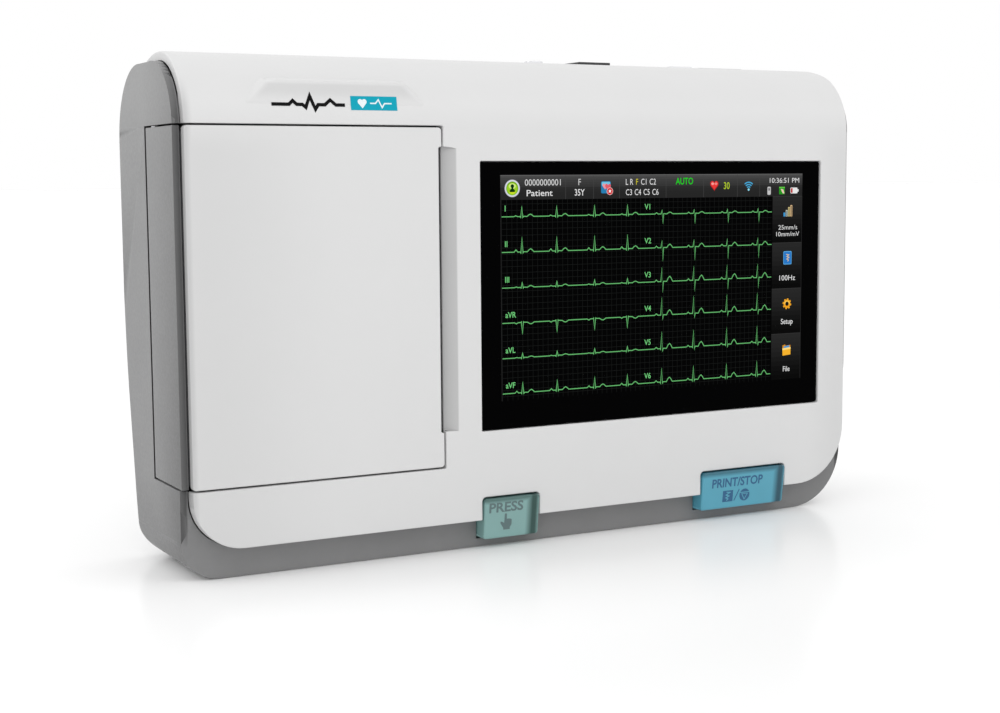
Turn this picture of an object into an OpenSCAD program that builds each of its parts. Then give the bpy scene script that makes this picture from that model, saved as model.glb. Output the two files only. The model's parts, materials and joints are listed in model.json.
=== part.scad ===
// Portable three-channel ECG machine with a touch screen and a built-in
// 80 mm thermal strip printer.
// Frame: +X to the right, +Y to the back, +Z up. The machine stands on its
// long lower edge and the origin is at the middle of its footprint.

/* [Housing] */
// Width over the grey end plates
case_w = 224; // [223:0.5:226]
// Wall thickness of the grey rear casing
case_wall = 2.0; // [1.8:0.1:2.2]
// Wall thickness of the white front shell
shell_wall = 2.6; // [2.4:0.1:2.6]
// Radius of the front shell's lower left corner
shell_corner_l = 14; // [13:0.5:14]
// Radius of the front shell's lower right corner
shell_corner_r = 18; // [17:0.5:18]
// Radius of the front shell's rolled upper edge
roll_r = 20; // [20:1:20]

/* [Display] */
// Width of the touch glass
glass_w = 121; // [120:0.5:121]
// Height of the touch glass
glass_h = 76.3; // [75:0.1:76.5]
// Thickness of the touch glass
glass_t = 1.8; // [1.5:0.1:1.8]

/* [Paper door] */
// Width of the door's front panel
door_w = 73.7; // [73:0.1:73.8]
// Height of the door
door_h = 95.2; // [95:0.1:95.3]
// Gap round the door
door_gap = 0.5; // [0.4:0.05:0.6]
// Radius of the door's hinge pins
pin_r = 1.0; // [0.9:0.05:1.1]

/* [Printer] */
// Width of the recording paper
paper_w = 80; // [79:0.5:80]
// Outer radius of the paper roll
roll_outer_r = 17.6; // [12:0.1:17.8]
// Radius of the platen's rubber
platen_r = 5.0; // [4.9:0.05:5.0]
// Module of the printer's gears
gear_m = 0.6; // [0.6:0.1:0.6]
// Teeth on the platen gear
platen_teeth = 20; // [20:1:20]
// Teeth on the idler gear
idler_teeth = 24; // [24:1:24]
// Teeth on the motor pinion
pinion_teeth = 12; // [12:1:12]

/* [Buttons] */
// Width of the door release button
press_w = 18; // [17.5:0.1:18]
// Width of the print and stop button
print_w = 31.5; // [31:0.1:32]
// Height of both buttons
button_h = 12; // [11.5:0.1:12]

/* [Hidden] */
$fn = 64;

e = 0.01;
hw = case_w / 2;          // half width over the end plates
sw = hw - 2.3;            // left end of the white shell
hwr = hw - 2;             // right end of the casing
swr = hwr - 2.2;          // right end of the white shell
plate_w = 2.05;           // thickness of the grey end plates
yf = -25.8;               // front face plane
ys = -21.3;               // face of the grey lower strip
ye = -23.1;               // front edge of the grey end plates
zs = 8.4;                 // lower edge of the white shell
zt = 120.2;               // height where the roll begins
roll_y = yf + roll_r;     // centre of the roll
glass_x0 = -23.8; glass_z0 = 34.4;
door_x1 = -36.1; door_z0 = 25.0; door_z1 = door_z0 + door_h;
door_x0 = door_x1 - door_w;
hinge_x = -hw + 2.2; hinge_y = -1.15; hinge_z = 72.6; hinge_tilt = 0;
clear_r = 3.3;            // swept clearance round the hinge line
px = -44.2; py = -15.25;  // platen axis
ux = 0.207; uy = 0.978;   // direction in which the gear train runs back
c1 = gear_m * (platen_teeth + idler_teeth) / 2;
ix = px + c1 * ux; iy = py + c1 * uy;
c2 = gear_m * (idler_teeth + pinion_teeth) / 2;
mx = ix - c2 * 0.3; my = iy + c2 * 0.954;
rx = -80.0; ry = -0.9;    // paper roll axis
rz0 = 34.6;               // lower face of the paper
press_x = -14.75; print_x = 68.15; bz0 = 3.2; pz0 = 2.6;
buttons = [[press_x, press_w, pz0], [print_x, print_w, bz0]];
screws = [[-66, 128, 16], [104.4, 128, 16], [-60, 15, 13], [100.2, 23, 14]];

// 2D drawn as (y, z) and run along X
module yz(x0, x1) translate([x0, 0, 0]) rotate([90, 0, 90]) linear_extrude(x1 - x0) children();
// 2D drawn as (x, z) and run along Y
module xz(y0, y1) translate([0, y1, 0]) rotate([90, 0, 0]) linear_extrude(y1 - y0) children();
module box(a, b) translate(a) cube([b[0] - a[0], b[1] - a[1], b[2] - a[2]]);
module zcyl(x, y, z0, z1, r) translate([x, y, z0]) cylinder(h = z1 - z0, r = r);
module ycyl(x, z, y0, y1, r) translate([x, y1, z]) rotate([90, 0, 0]) cylinder(h = y1 - y0, r = r);
module xcyl(y, z, x0, x1, r) translate([x0, y, z]) rotate([0, 90, 0]) cylinder(h = x1 - x0, r = r);
// rectangle with rounded corners, low corner x0,z0 to high corner x1,z1
module rrect(x0, z0, x1, z1, r) {
  translate([x0 + r, z0]) square([x1 - x0 - 2 * r, z1 - z0]);
  translate([x0, z0 + r]) square([x1 - x0, z1 - z0 - 2 * r]);
  for (x = [x0 + r, x1 - r]) for (z = [z0 + r, z1 - r]) translate([x, z]) circle(r);
}
// outline rounded only at its two lower corners
module rbottom(x0, z0, x1, z1, ra, rb) {
  translate([x0 + ra, z0]) square([x1 - x0 - ra - rb, z1 - z0]);
  translate([x0, z0 + ra]) square([x1 - x0 - rb, z1 - z0 - ra]);
  translate([x0 + ra, z0 + rb]) square([x1 - x0 - ra, z1 - z0 - rb]);
  translate([x0 + ra, z0 + ra]) circle(ra);
  translate([x1 - rb, z0 + rb]) circle(rb);
}
// what is taken off to round an upper right corner at x1,z1
module top_round(x1, z1, r) difference() {
  translate([x1 - r, z1 - r]) square([r + 5, r + 5]);
  translate([x1 - r, z1 - r]) circle(r);
}

// side profile of the white shell, drawn t inside its outer face
module shell_profile(t, yb = 5.2) {
  translate([yf + t, zs + (t > 0 ? 2.2 : 0)]) square([yb - yf - t, zt - zs - (t > 0 ? 2.2 : 0)]);
  intersection() {
    translate([roll_y, zt]) circle(roll_r - t, $fn = 128);
    translate([yf - 1, zt - e]) square([roll_y - yf + 1, 30]);
  }
  intersection() {
    translate([roll_y, zt - 14]) circle(roll_r + 14 - t, $fn = 128);
    translate([roll_y, zt - 5]) square([yb - roll_y, 40]);
  }
}
// side profile of the grey casing, drawn t inside its outer face
module case_profile(t) {
  polygon([[ys + t, t], [ys + t, 19], [ye + t, 46], [ye + t, zt], [5.6, zt], [5.6, 117.3], [25.9 - t, 117.3],
    [25.9 - t, 74], [25.5 - t, 66], [24.8 - t, 56], [23.9 - t, 47.5], [19.4 - t, 16.5], [18.2 - t, 10],
    [12, 7 + t], [10.6, t]]);
  intersection() {
    translate([10.4, 8]) circle(8 - t);
    translate([10, t]) square([9 - t, 10 - t]);
  }
  intersection() {
    translate([roll_y, zt]) circle(17.4 - t, $fn = 128);
    translate([ye - 1, zt - e]) square([roll_y - ye + 5, 30]);
  }
  translate([roll_y - e, zt - e]) square([5.6 - roll_y + 2 * e, 17.3 - t]);
  intersection() {
    translate([5.6, 117.3]) circle(20.25 - t, $fn = 128);
    translate([2.6, 117.3 - e]) square([33, 30]);
  }
}
// swept space of the paper door, run along the leaning hinge line
module door_space(g) intersection() {
  translate([hinge_x, hinge_y, hinge_z]) rotate([-hinge_tilt, 0, 0]) union() {
    cylinder(h = 140, r = clear_r, center = true);
    translate([-10, -40, -70]) cube([13, 40, 140]);
  }
  box([-hw - 5, -40, door_z0 - g], [-100, 20, door_z1 + g]);
}
module hinge_cyl(z0, z1, r) translate([hinge_x, hinge_y, hinge_z]) rotate([-hinge_tilt, 0, 0])
  translate([0, 0, z0 - hinge_z]) cylinder(h = z1 - z0, r = r);

module front_cover() color([0.86, 0.87, 0.87]) difference() {
  union() {
    difference() {
      intersection() {
        yz(-sw, swr) shell_profile(0);
        xz(-30, 12) rbottom(-sw, zs, swr, 150, shell_corner_l, shell_corner_r);
      }
      xz(-30, 12) top_round(swr, zt + roll_r, 4);
      // hollow behind the front wall, leaving lips round its edge
      xz(yf + shell_wall, ys + 0.3) rbottom(-sw + 2.2, zs + 2.2, swr - 2.2, zt, shell_corner_l - 2.2, shell_corner_r - 2.2);
      // the lips stop short, so that the casing closes the ends
      yz(-120, 120) intersection() {
        shell_profile(shell_wall, 8);
        translate([ys + 0.1, 0]) square([40, 150]);
      }
      box([-120, ys + 0.1, 0], [120, 20, zs + 5]);
    }
    // ledge behind the glass
    box([glass_x0 - 2.4, -23.3, glass_z0 - 2.4], [glass_x0 + glass_w + 2.4, -21.6, glass_z0 + glass_h + 2.4]);
    // screw bosses
    intersection() {
      for (p = screws) ycyl(p[0], p[1], -26, -12, 3.2);
      yz(-120, 120) shell_profile(1.2);
    }
  }
  // pocket for the glass and its window
  box([glass_x0 - 0.25, -27, glass_z0 - 0.25], [glass_x0 + glass_w + 0.25, -23.1, glass_z0 + glass_h + 0.25]);
  box([glass_x0 + 3.2, -24, glass_z0 + 3.2], [glass_x0 + glass_w - 3.2, -21, glass_z0 + glass_h - 3.2]);
  // opening for the paper door
  box([-120, -30, door_z0 - door_gap], [door_x1 + door_gap, -18, door_z1 + door_gap]);
  // sloping paper exit beside the door
  translate([0, 0, rz0 + 0.6]) linear_extrude(79.6)
    polygon([[door_x1, -28], [-31.4, -28], [-31.4, yf], [door_x1 + 0.9, yf + 1.7], [door_x1, yf + 1.7]]);
  // notches for the two buttons
  for (q = buttons) xz(-30, -18) rrect(q[0] - q[1] / 2 - 0.4, -5, q[0] + q[1] / 2 + 0.4, q[2] + button_h + 0.4, 1.2);
  for (p = screws) ycyl(p[0], p[1], p[1] > 100 ? -20 : -22, -11, 1.25);
}

module rear_casing() color([0.56, 0.57, 0.58]) difference() {
  union() {
    difference() {
      intersection() {
        yz(-hw, hwr) case_profile(0);
        xz(-30, 30) rbottom(-hw, 0, hwr, 150, 10.5, 18.5);
      }
      xz(-30, 30) top_round(hwr, zt + 17.4, 4.5);
      // main hollow, open to the front and to the rolled upper edge
      intersection() {
        yz(-hw + plate_w, hwr - plate_w) case_profile(case_wall);
        xz(-30, 30) rbottom(-hw + plate_w, case_wall, hwr - plate_w, 150, 8.5, 16.5);
      }
      intersection() {
        box([-hw + plate_w, -40, zs + 2.4], [hwr - plate_w, 5.4, 150]);
        xz(-40, 40) rbottom(-hw + plate_w, zs - 0.3, hwr - plate_w, 150, shell_corner_l + 0.2, shell_corner_r + 0.1);
      }
      intersection() {
        box([-hw + plate_w, -40, zs - 0.3], [hwr - plate_w, ys + 0.1, 150]);
        xz(-40, 40) rbottom(-hw + plate_w, zs - 0.3, hwr - plate_w, 150, shell_corner_l + 0.2, shell_corner_r + 0.1);
      }
    }
    // battery bay
    difference() {
      intersection() {
        box([-4.5, -0.5, 42.5], [78.5, 30, 121.5]);
        yz(-20, 90) case_profile(0.5);
      }
      difference() {
        box([-3, 1, 44], [77, 40, 120.4]);
        for (x = [4, 70]) box([x - 2.5, 0, 43], [x + 2.5, 20.6, 48.6]);
      }
    }
    // hinge bosses above and below the door
    intersection() {
      union() { hinge_cyl(13, door_z0 - 1.2, 2.9); hinge_cyl(door_z1 + 1.2, 131, 2.9); }
      box([-hw, -12, 0], [-100, 12, 140]);
      xz(-30, 30) rbottom(-hw + 0.3, 0, hw, 150, 10.5, 18.5);
    }
    // stop for the release button's spring
    box([press_x - 3, -8.9, 1], [press_x + 7, -7.4, 14]);
    // screw towers reaching towards the front shell
    for (p = screws) ycyl(p[0], p[1], -11.8, p[2] + 4, 3.2);
    // posts for the boards
    for (p = [[-14, 41.5], [85, 41.5]]) ycyl(p[0], p[1], -11.6, 22, 2.6);
  }
  // door opening in the left end plate, with the swept space of its hinge
  door_space(door_gap);
  // holes for the hinge pins
  hinge_cyl(14, 40, pin_r); hinge_cyl(100, 130, pin_r);
  // openings for the two buttons
  for (q = buttons) box([q[0] - q[1] / 2 - 0.35, -30, q[2] - 0.35], [q[0] + q[1] / 2 + 0.35, -18, 30]);
  // battery cover opening
  box([-3, 20.6, 44], [77, 40, 117.2]);
  for (x = [4, 70]) ycyl(x, 46.4, 10, 40, 0.9);
  // speaker slots
  for (i = [-3:3]) box([-20 + 3 * i - 0.7, 20, 95 - sqrt(100 - 9 * i * i)], [-20 + 3 * i + 0.7, 40, 95 + sqrt(100 - 9 * i * i)]);
  // casing screws, counterbored from the back
  for (p = screws) {
    ycyl(p[0], p[1], -12, 40, 1.6);
    ycyl(p[0], p[1], p[2], 40, 2.9);
  }
  for (p = [[-14, 41.5], [85, 41.5]]) ycyl(p[0], p[1], -12, -4, 0.9);
  // connector openings in the upper rear face
  zcyl(15.3, 13, 121.8, 150, 3.8);
  box([28, 7, 125], [40.2, 18.5, 150]);
  box([63.3, 7.5, 122], [71.9, 18.3, 150]);
  box([73.5, 6.5, 121.8], [90.9, 19, 150]);
  zcyl(98.6, 12, 120, 150, 2.5);
  box([47, 8, 120], [61.2, 15.2, 150]);
  // patient connector opening in the right end plate
  box([98, -3.4, 68], [120, 9.4, 100]);
  for (z = [67.34, 100.66]) xcyl(3, z, 98, 120, 2.5);
  // recesses for the rubber feet
  for (x = [-92, 96]) { ycyl(x, 112, 25.5, 40, 5.6); low_foot(x, 5.6, -0.4, 5); }
}

module touch_glass() color([0.03, 0.03, 0.035])
  xz(-25.2, -25.2 + glass_t) rrect(glass_x0, glass_z0, glass_x0 + glass_w, glass_z0 + glass_h, 0.8);

module glass_gasket() color([0.1, 0.1, 0.1]) difference() {
  box([glass_x0 + 0.2, -23.4, glass_z0 + 0.2], [glass_x0 + glass_w - 0.2, -23.12, glass_z0 + glass_h - 0.2]);
  box([glass_x0 + 3.2, -24, glass_z0 + 3.2], [glass_x0 + glass_w - 3.2, -22, glass_z0 + glass_h - 3.2]);
}

module lcd_module() color([0.25, 0.27, 0.3]) {
  box([glass_x0 + 3.5, -23.3, glass_z0 + 3.5], [glass_x0 + glass_w - 3.5, -18.5, glass_z0 + glass_h - 3.5]);
}

module lcd_holder() color([0.3, 0.3, 0.32]) difference() {
  box([glass_x0 - 1, -21.5, glass_z0 - 1], [glass_x0 + glass_w + 1, -16.5, glass_z0 + glass_h + 1]);
  box([glass_x0 + 3.4, -22, glass_z0 + 3.4], [glass_x0 + glass_w - 3.4, -18.4, glass_z0 + glass_h - 3.4]);
  box([glass_x0 + 12, -22, glass_z0 + 12], [glass_x0 + glass_w - 12, -10, glass_z0 + glass_h - 12]);
}

module door_front_panel() color([0.87, 0.88, 0.88]) difference() {
  xz(yf, ye) difference() {
    rrect(-sw, door_z0, door_x1, door_z1, 1);
  }
  // shallow step along the free edge where the paper leaves
  box([door_x1 - 0.9, -30, rz0 + 0.2], [0, -20, rz0 + 80.2]);
}

module door_side_panel() color([0.58, 0.59, 0.6]) difference() {
  union() {
    intersection() {
      box([-hw, ye, door_z0], [-hw + plate_w, 10, door_z1]);
      translate([hinge_x, hinge_y, hinge_z]) rotate([-hinge_tilt, 0, 0]) translate([-10, -60, -80]) cube([20, 61.4, 160]);
    }
    intersection() {
      union() { hinge_cyl(door_z0 + 0.3, 36, 2.1); hinge_cyl(109, door_z1 - 0.3, 2.1); }
      box([-hw, -20, door_z0 + 0.2], [-100, 20, door_z1 - 0.2]);
    }
  }
  hinge_cyl(10, 33.5, pin_r + 0.05);
  hinge_cyl(111.5, 135, pin_r + 0.05);
}

module door_frame() color([0.2, 0.2, 0.21]) difference() {
  union() {
    box([-sw + 0.6, ye + 0.02, door_z0 + 1], [door_x1 - 1.2, ye + 1.6, door_z1 - 1]);
    // inner skin of the side panel
    intersection() {
      box([-hw + plate_w + 0.05, ye + 0.02, door_z0 + 1], [-hw + 3.5, 10, door_z1 - 1]);
      translate([hinge_x, hinge_y, hinge_z]) rotate([-hinge_tilt, 0, 0]) translate([-10, -60, -80]) cube([20, 57.2, 160]);
    }
    // stiffening ribs
    for (z = [45, 72.6, 100]) box([-105, ye + 1, z - 0.6], [-60, ye + 3.2, z + 0.6]);
    // strikes beside the latch hooks
    for (z = [28.2, 117]) box([door_x1 - 1.3, ye + 0.5, z - 1], [door_x1 + 0.2, -16.5, z + 1]);
    // arms that carry the platen
    for (z = [[32.5, 34.1], [115.1, 116.7]])
      difference() {
        union() {
          box([px - 7, ye + 1, z[0]], [door_x1 - 1.2, py, z[1]]);
          zcyl(px, py, z[0], z[1], 3.6);
        }
      }
  }
  for (z = [31, 114]) zcyl(px, py, z, z + 4, 2.5);
  // room for the platen gear
  zcyl(px, py, 27.8, 32.3, 7.1);
}

module hinge_pins() color([0.75, 0.75, 0.78]) {
  hinge_cyl(15, 33, pin_r);
  hinge_cyl(112, 129, pin_r);
}

module platen_shaft() color([0.78, 0.78, 0.8]) zcyl(px, py, 28.4, 118.2, 1.5);
module platen_roller() color([0.12, 0.12, 0.12]) difference() {
  zcyl(px, py, 34.9, 114.3, platen_r);
  zcyl(px, py, 30, 120, 1.5);
}
module platen_bushes() color([0.85, 0.84, 0.78]) for (z = [32.2, 114.8]) difference() {
  union() { zcyl(px, py, z, z + 2.2, 2.5); zcyl(px, py, z < 50 ? z : z + 2, z < 50 ? z + 0.25 : z + 2.3, 3.2); }
  zcyl(px, py, z - 1, z + 4, 1.55);
}

function inv_deg(rb, r) = let(a = acos(min(1, rb / r))) tan(a) * 180 / PI - a;
// involute spur gear with n teeth, thinned for backlash
module gear2d(n, m, back) {
  rp = n * m / 2; rb = rp * cos(20); ra = rp + 0.82 * m; rr = rp - 1.15 * m;
  half = 90 / n - back + inv_deg(rb, rp);
  rs = [for (i = [0:4]) let(r0 = max(rb, rr)) r0 + (ra - r0) * i / 4];
  polygon([for (k = [0:n - 1]) let(c = 360 * k / n) each concat(
    [[rr * cos(c - half), rr * sin(c - half)]],
    [for (r = rs) [r * cos(c - half + inv_deg(rb, r)), r * sin(c - half + inv_deg(rb, r))]],
    [for (i = [4:-1:0]) [rs[i] * cos(c + half - inv_deg(rb, rs[i])), rs[i] * sin(c + half - inv_deg(rb, rs[i]))]],
    [[rr * cos(c + half), rr * sin(c + half)]])]);
}
a1 = atan2(uy, ux);
a2 = atan2(my - iy, mx - ix);
module platen_gear() color([0.9, 0.89, 0.84]) difference() {
  translate([px, py, 28.6]) rotate([0, 0, a1]) linear_extrude(3.2) gear2d(platen_teeth, gear_m, 1.1);
  zcyl(px, py, 20, 40, 1.5);
}
phi = a1 + 180 + 180 / idler_teeth;
module idler_gear() color([0.9, 0.89, 0.84]) difference() {
  translate([ix, iy, 28.6]) rotate([0, 0, phi]) linear_extrude(3.2) gear2d(idler_teeth, gear_m, 1.0);
  zcyl(ix, iy, 20, 40, 1.25);
}
module idler_pin() color([0.75, 0.75, 0.78]) { zcyl(ix, iy, 28.0, 35.2, 1.2); zcyl(ix, iy, 27.4, 28.3, 2.2); }
// the pinion's tooth gap faces the idler tooth nearest to it
ptooth = (a2 - phi) * idler_teeth / 360;
pfrac = ptooth - floor(ptooth);
module motor_pinion() color([0.82, 0.7, 0.35]) difference() {
  translate([mx, my, 28.6]) rotate([0, 0, a2 + 180 + 180 / pinion_teeth + pfrac * 360 / pinion_teeth])
    linear_extrude(3.4) gear2d(pinion_teeth, gear_m, 1.6);
  zcyl(mx, my, 20, 40, 1.0);
}
module motor_shaft() color([0.78, 0.78, 0.8]) zcyl(mx, my, 28.4, 40, 1.0);
module stepper_motor() color([0.6, 0.6, 0.62]) difference() {
  union() {
    zcyl(mx, my, 34.4, 50, 9.6);
    zcyl(mx, my, 50, 51, 6);
    box([mx - 9, my + 6, 38], [mx + 9, my + 10.6, 46]);
  }
  zcyl(mx, my, 30, 40.2, 1.05);
}

module printer_chassis() color([0.7, 0.71, 0.72]) difference() {
  union() {
    box([-57, -8.5, 33.2], [-33.5, 18, 34.2]);
    box([-34.4, -8.5, 33.2], [-33.2, 6, 117.5]);
    box([-48, -8.0, 116.5], [-33.2, 6, 117.5]);
    box([-34.4, -8.5, 58], [-32.2, -7.3, 100]);
  }
  zcyl(mx, my, 30, 36, 3); zcyl(ix, iy, 30, 40, 1.2);
  for (z = [50, 105]) xcyl(-1, z, -40, -30, 1.5);
  box([-36, -5.2, 58], [-32, -2.8, 92]);
}
nx = 0.94; ny = 0.35;     // direction from the platen to the thermal head
na = atan2(ny, nx);
module at_head() translate([px, py, 0]) rotate([0, 0, na]) children();
module print_head() color([0.88, 0.88, 0.9]) at_head() box([platen_r + 0.06, -3.6, 34.8], [platen_r + 1.06, 5.5, 114.4]);
module head_heatsink() color([0.72, 0.73, 0.75]) at_head() difference() {
  box([platen_r + 1.08, -2.6, 34.6], [platen_r + 3.9, 7.4, 114.6]);
  for (i = [0:5]) box([platen_r + 2.4, -1.2 + 1.5 * i, 36], [platen_r + 5, -0.5 + 1.5 * i, 113]);
}
module spring_coil(r, wire, turns, len, sides = 6, steps = 12) {
  n = turns * steps;
  polyhedron(points = [for (i = [0:n]) for (k = [0:sides - 1]) let(a = 360 * i / steps, b = 360 * k / sides)
      [(r + wire * cos(b)) * cos(a), (r + wire * cos(b)) * sin(a), wire + (len - 2 * wire) * i / n + wire * sin(b)]],
    faces = concat([[for (k = [0:sides - 1]) k]], [[for (k = [sides - 1:-1:0]) n * sides + k]],
      [for (i = [0:n - 1]) for (k = [0:sides - 1]) each [
        [i * sides + k, (i + 1) * sides + k, (i + 1) * sides + (k + 1) % sides],
        [i * sides + k, (i + 1) * sides + (k + 1) % sides, i * sides + (k + 1) % sides]]]));
}
module head_springs() color([0.8, 0.8, 0.82]) for (z = [52, 98])
  at_head() translate([platen_r + 3.95, 4.6, z]) rotate([0, 90, 0]) spring_coil(1.5, 0.25, 3, 2.5);
module head_cable() color([0.82, 0.7, 0.45]) translate([0, 0, 60]) linear_extrude(30)
  polygon([[-40.9, -6.1], [-39.9, -4.2], [-24, -4.2], [-21.6, -11.2], [-21.3, -11.1], [-23.7, -3.9], [-40.1, -3.9], [-41.2, -6.0]]);
module tear_bar() color([0.8, 0.8, 0.82]) difference() {
  translate([0, 0, rz0 + 0.6]) linear_extrude(79.6)
    polygon([[-35.55, -23.1], [-34.5, -23.1], [-34.5, -20], [-35.1, -20]]);
}

module paper_tray() color([0.24, 0.24, 0.25]) difference() {
  union() {
    zcyl(rx, ry, rz0 - 1.6, rz0 + 80.6 + 1, 19.4);
  }
  zcyl(rx, ry, rz0 - 0.4, rz0 + 80.4, 18.2);
  box([rx - 30, -40, rz0 - 0.4], [rx + 30, ry - 4, rz0 + 80.4]);
  box([rx - 30, -40, rz0 - 3], [rx + 30, ry - 14, rz0 + 90]);
  zcyl(rx, ry, 20, 130, 3.55);
}
module paper_roll() color([0.95, 0.94, 0.92]) difference() {
  zcyl(rx, ry, rz0, rz0 + paper_w, roll_outer_r);
  zcyl(rx, ry, 0, 130, 6.5);
}
module paper_core() color([0.3, 0.3, 0.32]) difference() {
  union() {
    zcyl(rx, ry, rz0, rz0 + paper_w, 6.5);
    zcyl(rx, ry, rz0 - 2.6, rz0 + paper_w + 2.6, 3.5);
  }
  zcyl(rx, ry, 20, 130, 2.2);
}
module paper_sensor() color([0.1, 0.1, 0.12]) box([-58.5, -12.4, 70], [-53.5, -9.6, 78]);

// cap of a button: its face leans back towards the lower edge
module cap(x, w, z) {
  intersection() {
    yz(x - w / 2 - 1, x + w / 2 + 1) polygon([[-26.9, z + button_h], [-25.4, z], [-18.9, z], [-18.9, z + button_h]]);
    xz(-30, -18.9) rrect(x - w / 2, z, x + w / 2, z + button_h, 0.9);
  }
  box([x - w / 2 - 1.2, -18.9, z], [x + w / 2 + 1.2, -17.6, z + button_h]);
}
module press_button() color([0.36, 0.6, 0.56]) {
  cap(press_x, press_w, pz0);
  // wedge that lifts the latch slide
  translate([-31.6, 0, 0]) rotate([90, 0, 90]) linear_extrude(6.4 + 2.3) polygon([[-17.62, 5], [-13, 5], [-17.62, 9.62]]);
}
module press_spring() color([0.8, 0.8, 0.82]) translate([press_x + 2, -17.5, pz0 + 6]) rotate([-90, 0, 0]) spring_coil(3, 0.35, 4, 8.5);
module latch_slide() color([0.3, 0.3, 0.32]) difference() {
  union() {
    translate([-31.4, 0, 0]) rotate([90, 0, 90]) linear_extrude(2.6) polygon([[-17.5, 9.7], [-12.9, 5.1], [-12.9, 20], [-17.5, 20]]);
    box([-31.4, -17.5, 19.9], [-28.8, -15.5, 117]);
    // hooks beside the door's free edge
    for (z = [28.9, 117]) box([-35.6, -17.5, z - 1.8], [-28.8, -15.5, z]);
  }
}
module print_stop_button() color([0.35, 0.63, 0.7]) {
  cap(print_x, print_w, bz0);
  ycyl(print_x, bz0 + 6, -17.7, -15.6, 2);
}
module button_dome() color([0.2, 0.2, 0.22]) ycyl(print_x, bz0 + 6, -14.5, -12.4, 2.2);
module key_board() color([0.1, 0.32, 0.2]) box([print_x - 20, -12.35, 3.4], [print_x + 20, -10.8, 20]);

module mainboard() color([0.08, 0.35, 0.2]) difference() {
  box([-21, -13.3, 38], [98, -11.7, 112]);
  for (p = [[-14, 41.5], [85, 41.5]]) ycyl(p[0], p[1], -20, 0, 1.5);
}
module mainboard_chips() color([0.1, 0.1, 0.11]) {
  box([30, -11.68, 78], [46, -10.2, 94]);
  box([52, -11.68, 82], [64, -10.4, 92]);
  box([4, -11.68, 84], [14, -10.0, 98]);
  box([20, -11.68, 50], [28, -9.4, 60]);
  box([60, -11.68, 50], [90, -8.4, 55]);
  for (i = [0:5]) ycyl(-8 + 5 * i, 68, -11.68, -7, 1.9);
  box([-18, -11.68, 100], [6, -7.6, 104]);
}
module ecg_board() color([0.08, 0.35, 0.2]) box([81, -6.2, 47], [106.2, -4.6, 118]);
module ecg_shield_can() color([0.78, 0.79, 0.8]) difference() {
  box([82.5, -4.58, 60], [98.5, 1.2, 112]);
  box([82.9, -5, 60.4], [98.1, 0.8, 111.6]);
  for (i = [0:5]) for (k = [0:2]) ycyl(86 + 4.6 * k, 68 + 7 * i, 0, 2, 0.8);
}
module power_board() color([0.1, 0.3, 0.18]) box([-22, 4.5, 10], [78, 6.1, 38.2]);
module power_parts() color([0.15, 0.15, 0.16]) {
  box([-12, -4.5, 15], [2, 4.48, 29]);
  for (x = [12, 24]) ycyl(x, 22, -8, 4.48, 4);
  ycyl(38, 22, -3.5, 4.48, 6);
  box([52, -1, 14], [68, 4.48, 30]);
}
module battery_pack() color([0.2, 0.32, 0.55]) {
  for (i = [0:3]) zcyl(8.2 + 19.1 * i, 11.2, 49.5, 119.5, 9.2);
  box([1, 4, 52], [72, 18.5, 55]);
  box([1, 4, 114], [72, 18.5, 117]);
}
module battery_contacts() color([0.85, 0.7, 0.3]) for (i = [0:3]) box([30 + 5 * i, 10, 44.05], [32 + 5 * i, 15, 49.4]);
module battery_cover() color([0.55, 0.56, 0.57]) difference() {
  intersection() {
    difference() {
      yz(-2.7, 76.7) case_profile(0);
      yz(-3, 77) case_profile(1.9);
    }
    box([-2.7, 15, 44.3], [76.7, 40, 116.9]);
  }
  // finger grip grooves and sunk screw holes
  for (i = [0:4]) box([22, 25.4, 103 + 2.4 * i], [52, 40, 104 + 2.4 * i]);
  for (x = [4, 70]) { ycyl(x, 46.4, 10, 40, 1.2); ycyl(x, 46.4, 22.6, 40, 2.2); }
}

module speaker() color([0.15, 0.15, 0.16]) {
  ycyl(-20, 95, 19.5, 23.6, 12);
  ycyl(-20, 95, 13.5, 19.5, 7.5);
}
module ecg_connector() color([0.2, 0.22, 0.25]) difference() {
  union() {
    box([101, -2.6, 70], [110, 8.6, 98]);
    box([99, -4.4, 63.5], [106.2, 10.4, 104.5]);
  }
  yz(103, 111) polygon([[-1.2, 71.5], [7.2, 70.5], [7.2, 97.5], [-1.2, 96.5]]);
  for (z = [67.34, 100.66]) xcyl(3, z, 93, 120, 1.5);
}
module connector_jackscrews() color([0.75, 0.76, 0.78]) for (z = [67.34, 100.66]) difference() {
  union() {
    xcyl(3, z, 99, 106.3, 1.45);
    translate([106.25, 3, z]) rotate([0, 90, 0]) cylinder(h = 3.3, r = 2.35, $fn = 6);
  }
  xcyl(3, z, 103, 120, 1.15);
}
module usb_port() color([0.75, 0.76, 0.78]) difference() {
  box([47.4, 8.4, 124], [60.8, 14.8, 138.2]);
  box([48.2, 9.2, 127], [60, 14, 150]);
}
module usb_device_port() color([0.8, 0.8, 0.8]) difference() {
  box([63.6, 7.9, 124], [71.6, 17.9, 141.7]);
  box([64.6, 9.4, 128], [70.6, 16.4, 150]);
}
module lan_port() color([0.72, 0.72, 0.72]) difference() {
  box([73.8, 6.9, 122], [90.6, 18.6, 141.4]);
  box([76, 8.4, 126], [88.4, 16.6, 150]);
}
module dc_inlet() color([0.05, 0.05, 0.05]) {
  difference() {
    box([28.3, 7.3, 128], [39.9, 18.2, 142.1]);
    zcyl(34.1, 12.8, 131, 150, 3.2);
  }
  zcyl(34.1, 12.8, 130.9, 139.5, 1.0);
}
module earth_stud() color([0.82, 0.82, 0.84]) {
  zcyl(15.3, 13, 137.2, 142.2, 3.0);
  zcyl(15.3, 13, 124, 137.2, 3.6);
  zcyl(15.3, 13, 122, 124.2, 5);
}
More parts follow.
